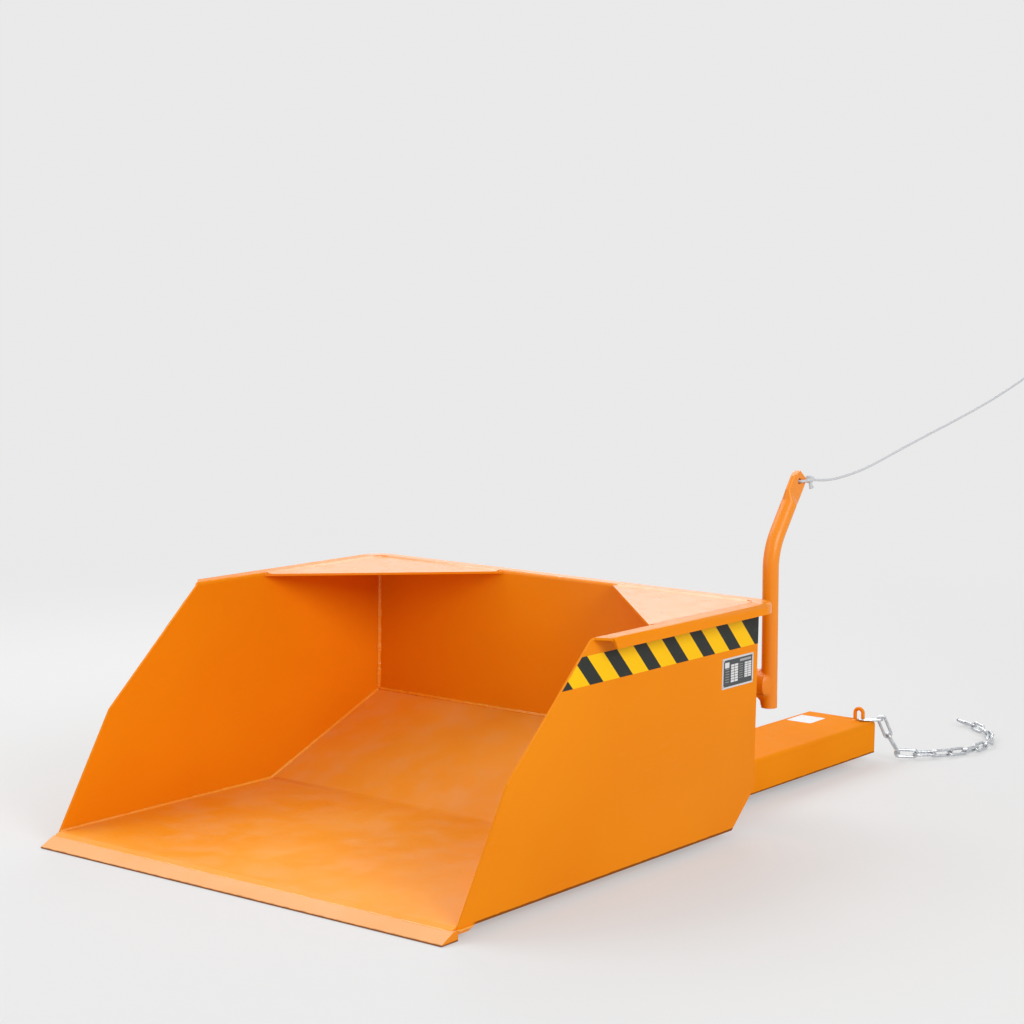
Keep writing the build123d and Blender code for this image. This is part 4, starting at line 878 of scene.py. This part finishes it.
for x, lean in faces(POCKET_X, UPRIGHT_HALVES[0]):
    ring_beads(bm, x, lean, HOUSING_R, *HOUSING_ARC, BEAM_BEAD)
for x in (eye_low.x + EYE_R, eye_high.x - EYE_R):
    eye_bead(bm, Vector((x, eye_low.y + EYE_R, eye_low.z)))
new_piece("frame_welds", bm, weld_paint, "frame")

# Lever: beads of the hooks on the shaft, and a smooth joint where the shaft is coped round the lever tube
SHAFT_R = 0.03015
LEVER_R = 0.0175
HOOK_HALF = 0.0075
SADDLE_STEPS = 20
SADDLE_SWEEP = math.radians(170)
SADDLE_REACH = 0.985
SADDLE_SHARES = (0.0, 0.05, 0.35, 0.65, 0.95, 1.0)
SADDLE_CREASE = 35
FILLET_STEPS = 8
FILLET_PROUD = 0.0005
FILLET_LEAST = 0.2
FILLET_ABOVE = 0.0050
FILLET_BELOW = 0.0180


def saddle_fillet(bm, up, leg):
    """Concave fillet between the shaft and the lever tube, above the shaft or below it; leg is its size."""
    rings = []
    for i in range(SADDLE_STEPS + 1):
        turn = SADDLE_SWEEP * (i / SADDLE_STEPS - 0.5)
        rise = up * math.sqrt(SHAFT_R**2 - (LEVER_R * math.sin(turn)) ** 2)
        from_lever = Vector((-math.cos(turn), math.sin(turn), 0))
        point = Vector((LEVER_X, lever_middle(rise), shaft_at.z + rise)) + from_lever * LEVER_R
        from_shaft = Vector((0, point.y - shaft_at.y, rise)).normalized()
        out = (from_lever + from_shaft).normalized()
        side = (from_shaft - from_lever).normalized()
        half = (math.pi - from_lever.angle(from_shaft)) / 2
        leg_here = leg * (FILLET_LEAST + (1 - FILLET_LEAST) * math.cos(turn))
        ring = [point - out * BEAD_SINK]
        for k in range(FILLET_STEPS + 1):
            angle = half * (2 * k / FILLET_STEPS - 1)
            hollow = max(0.0, math.sin(half) ** 2 - math.sin(angle) ** 2)
            reach = leg_here * (math.cos(angle) - math.sqrt(hollow)) / math.cos(half)
            ring.append(point + out * FILLET_PROUD + (out * math.cos(angle) + side * math.sin(angle)) * reach)
        rings.append(ring)
    skin(bm, rings)


def saddle_side(bm, aside):
    """Slope from the rim of the shaft's end to where it touches the lever tube, on one side of the tube."""
    highest = SADDLE_REACH * math.sqrt(SHAFT_R**2 - LEVER_R**2)
    rings = []
    for i in range(SADDLE_STEPS + 1):
        rise = highest * (2 * i / SADDLE_STEPS - 1)
        rim = math.sqrt(SHAFT_R**2 - rise**2)
        turn = math.acos(LEVER_R / rim)
        middle, z = lever_middle(rise), shaft_at.z + rise
        edge = Vector((LEVER_X, shaft_at.y + aside * rim, z))
        tube = Vector((LEVER_X + LEVER_R * math.sin(turn), middle + aside * LEVER_R * math.cos(turn), z))
        inner = Vector((LEVER_X - BEAD_SINK, middle + aside * (LEVER_R - BEAD_SINK), z))
        rings.append([edge.lerp(tube, share) for share in SADDLE_SHARES] + [inner])
    skin(bm, rings)


bm = bmesh.new()
for x, lean in faces(CATCH_X, HOOK_HALF):
    ring_beads(bm, x, lean, SHAFT_R, 0, 360, PLATE_BEAD)
new_piece("lever_welds", bm, weld_paint, "lever")

bm = bmesh.new()
saddle_fillet(bm, 1, FILLET_ABOVE)
saddle_fillet(bm, -1, FILLET_BELOW)
saddle_side(bm, 1)
saddle_side(bm, -1)
new_piece("lever_saddle", bm, tube_paint, "lever", crease=SADDLE_CREASE)

# Edges of the plates, rounded as cut and painted steel is: metres and degrees
EDGE_ROUND = 0.0009
EDGE_ANGLE = 40
EDGE_STEPS = 2
FLAT_ANGLE = 0.5
JOIN_WITHIN = 1e-5
PLATES = [
    "side_wall_left", "side_wall_right", "rear_wall", "floor_plate", "corner_gusset_left",
    "corner_gusset_right", "cutting_edge", "edge_backing_strip", "wear_bars", "ramp_ribs",
    "bucket_hinge_lugs", "catch_backing_plates", "catch_lugs", "fork_pocket_left", "fork_pocket_right",
    "pocket_straps", "hinge_plate", "frame_hinge_ears", "rear_cross_beam", "rear_tie_bar", "pocket_skids",
    "bucket_stops", "latch_uprights", "latch_hooks",
]
for name in PLATES:
    joined = nodes[name].modifiers.new("joined", "WELD")
    joined.merge_threshold = JOIN_WITHIN
    flats = nodes[name].modifiers.new("flats", "DECIMATE")
    flats.decimate_type = "DISSOLVE"
    flats.angle_limit = math.radians(FLAT_ANGLE)
    rounding = nodes[name].modifiers.new("rounding", "BEVEL")
    rounding.width = EDGE_ROUND
    rounding.segments = EDGE_STEPS
    rounding.limit_method = "ANGLE"
    rounding.angle_limit = math.radians(EDGE_ANGLE)
    rounding.harden_normals = True

# Stage: pale floor that fades into pale surroundings, and soft lights
FLOOR_REACH = 14.0
FLOOR_SIDES = 64
FLOOR_MIDDLE_Y = 0.9
FLOOR_BELOW = 0.0005
FADE_FROM = 1.6
FADE_TO = 4.5
FADE_LEAST = 0.45
WORLD_LIGHT = 0.5
bm = bmesh.new()
bmesh.ops.create_circle(bm, cap_ends=True, segments=FLOOR_SIDES, radius=FLOOR_REACH)
floor_mesh = bpy.data.meshes.new("studio_floor")
bm.to_mesh(floor_mesh)
bm.free()
floor = bpy.data.objects.new("studio_floor", floor_mesh)
floor.location = (0, FLOOR_MIDDLE_Y, cad_low.z - FLOOR_BELOW)
scene.collection.objects.link(floor)


def seen_share(tree):
    """1 for the rays that show the surroundings: from the camera, mirrored or through glass."""
    path = tree.nodes.new("ShaderNodeLightPath")
    share = path.outputs["Is Camera Ray"]
    for kind in ("Is Glossy Ray", "Is Transmission Ray"):
        either = tree.nodes.new("ShaderNodeMath")
        either.operation = "MAXIMUM"
        tree.links.new(share, either.inputs[0])
        tree.links.new(path.outputs[kind], either.inputs[1])
        share = either.outputs[0]
    return share


s = Surface("studio_floor", Base_Color=STUDIO_FLOOR, Roughness=0.75, Specular_IOR_Level=0.1)
glow = s.add("Emission", {"Color": STUDIO_PALE, "Strength": 1.0}).outputs[0]
distance = s.add("VectorMath", {0: s.place}, operation="LENGTH").outputs["Value"]
faded = s.all_of(s.band(distance, FADE_FROM, FADE_TO, FADE_LEAST, 1.0), seen_share(s.tree))
blend = s.add("MixShader", {0: faded, 1: s.shader.outputs[0], 2: glow}).outputs[0]
s.tree.links.new(blend, s.tree.nodes["Material Output"].inputs["Surface"])
floor_mesh.materials.append(s.material)

world = bpy.data.worlds.new("studio")
world.use_nodes = True
scene.world = world
tree = world.node_tree
lit = tree.nodes["Background"]
lit.inputs["Color"].default_value = WHITE
lit.inputs["Strength"].default_value = WORLD_LIGHT
shown = tree.nodes.new("ShaderNodeBackground")
shown.inputs["Color"].default_value = STUDIO_PALE
chosen = tree.nodes.new("ShaderNodeMixShader")
tree.links.new(seen_share(tree), chosen.inputs[0])
tree.links.new(lit.outputs[0], chosen.inputs[1])
tree.links.new(shown.outputs[0], chosen.inputs[2])
tree.links.new(chosen.outputs[0], tree.nodes["World Output"].inputs["Surface"])

# Lamps: place, aim, width and height in metres, power in watts
LAMPS = {
    "key": ((6.5, -0.8, 4.0), (0.0, 0.7, 0.2), 3.6, 3.6, 290),
    "overhead": ((-2.4, 1.0, 3.6), (0.0, 0.6, 0.0), 3.0, 3.0, 80),
    "front": ((-2.6, -3.8, 2.4), (0.0, 0.8, 0.2), 4.4, 4.4, 72),
    "back": ((-2.5, 5.5, 3.6), (0.0, 0.9, 0.4), 3.0, 2.0, 70),
    "back_panel": ((-3.6, 5.7, 1.95), (0.0, 0.9, 0.4), 2.4, 1.1, 11),
}
for name, (place, target, width, height, power) in LAMPS.items():
    lamp = bpy.data.lights.new(name, "AREA")
    lamp.shape = "RECTANGLE"
    lamp.size = width
    lamp.size_y = height
    lamp.energy = power
    holder = bpy.data.objects.new(name, lamp)
    holder.location = place
    holder.rotation_mode = "QUATERNION"
    holder.rotation_quaternion = (Vector(target) - holder.location).to_track_quat("-Z", "Y")
    holder.visible_camera = False
    scene.collection.objects.link(holder)

azimuth, down, roll = (math.radians(v) for v in (CAMERA_AZIMUTH, CAMERA_DOWN, CAMERA_ROLL))
forward = Vector((-math.sin(azimuth) * math.cos(down), math.cos(azimuth) * math.cos(down), -math.sin(down)))
level_right = Vector((math.cos(azimuth), math.sin(azimuth), 0))
level_up = level_right.cross(forward)
right = level_right * math.cos(roll) + level_up * math.sin(roll)
up = right.cross(forward)
camera = bpy.data.objects.new("camera", bpy.data.cameras.new("camera"))
camera.data.lens = CAMERA_LENS
camera.data.sensor_width = SENSOR
camera.data.clip_end = CAMERA_FAR
camera.matrix_world = Matrix((right, up, -forward)).transposed().to_4x4()
camera.location = CAMERA_AT
scene.collection.objects.link(camera)
scene.camera = camera
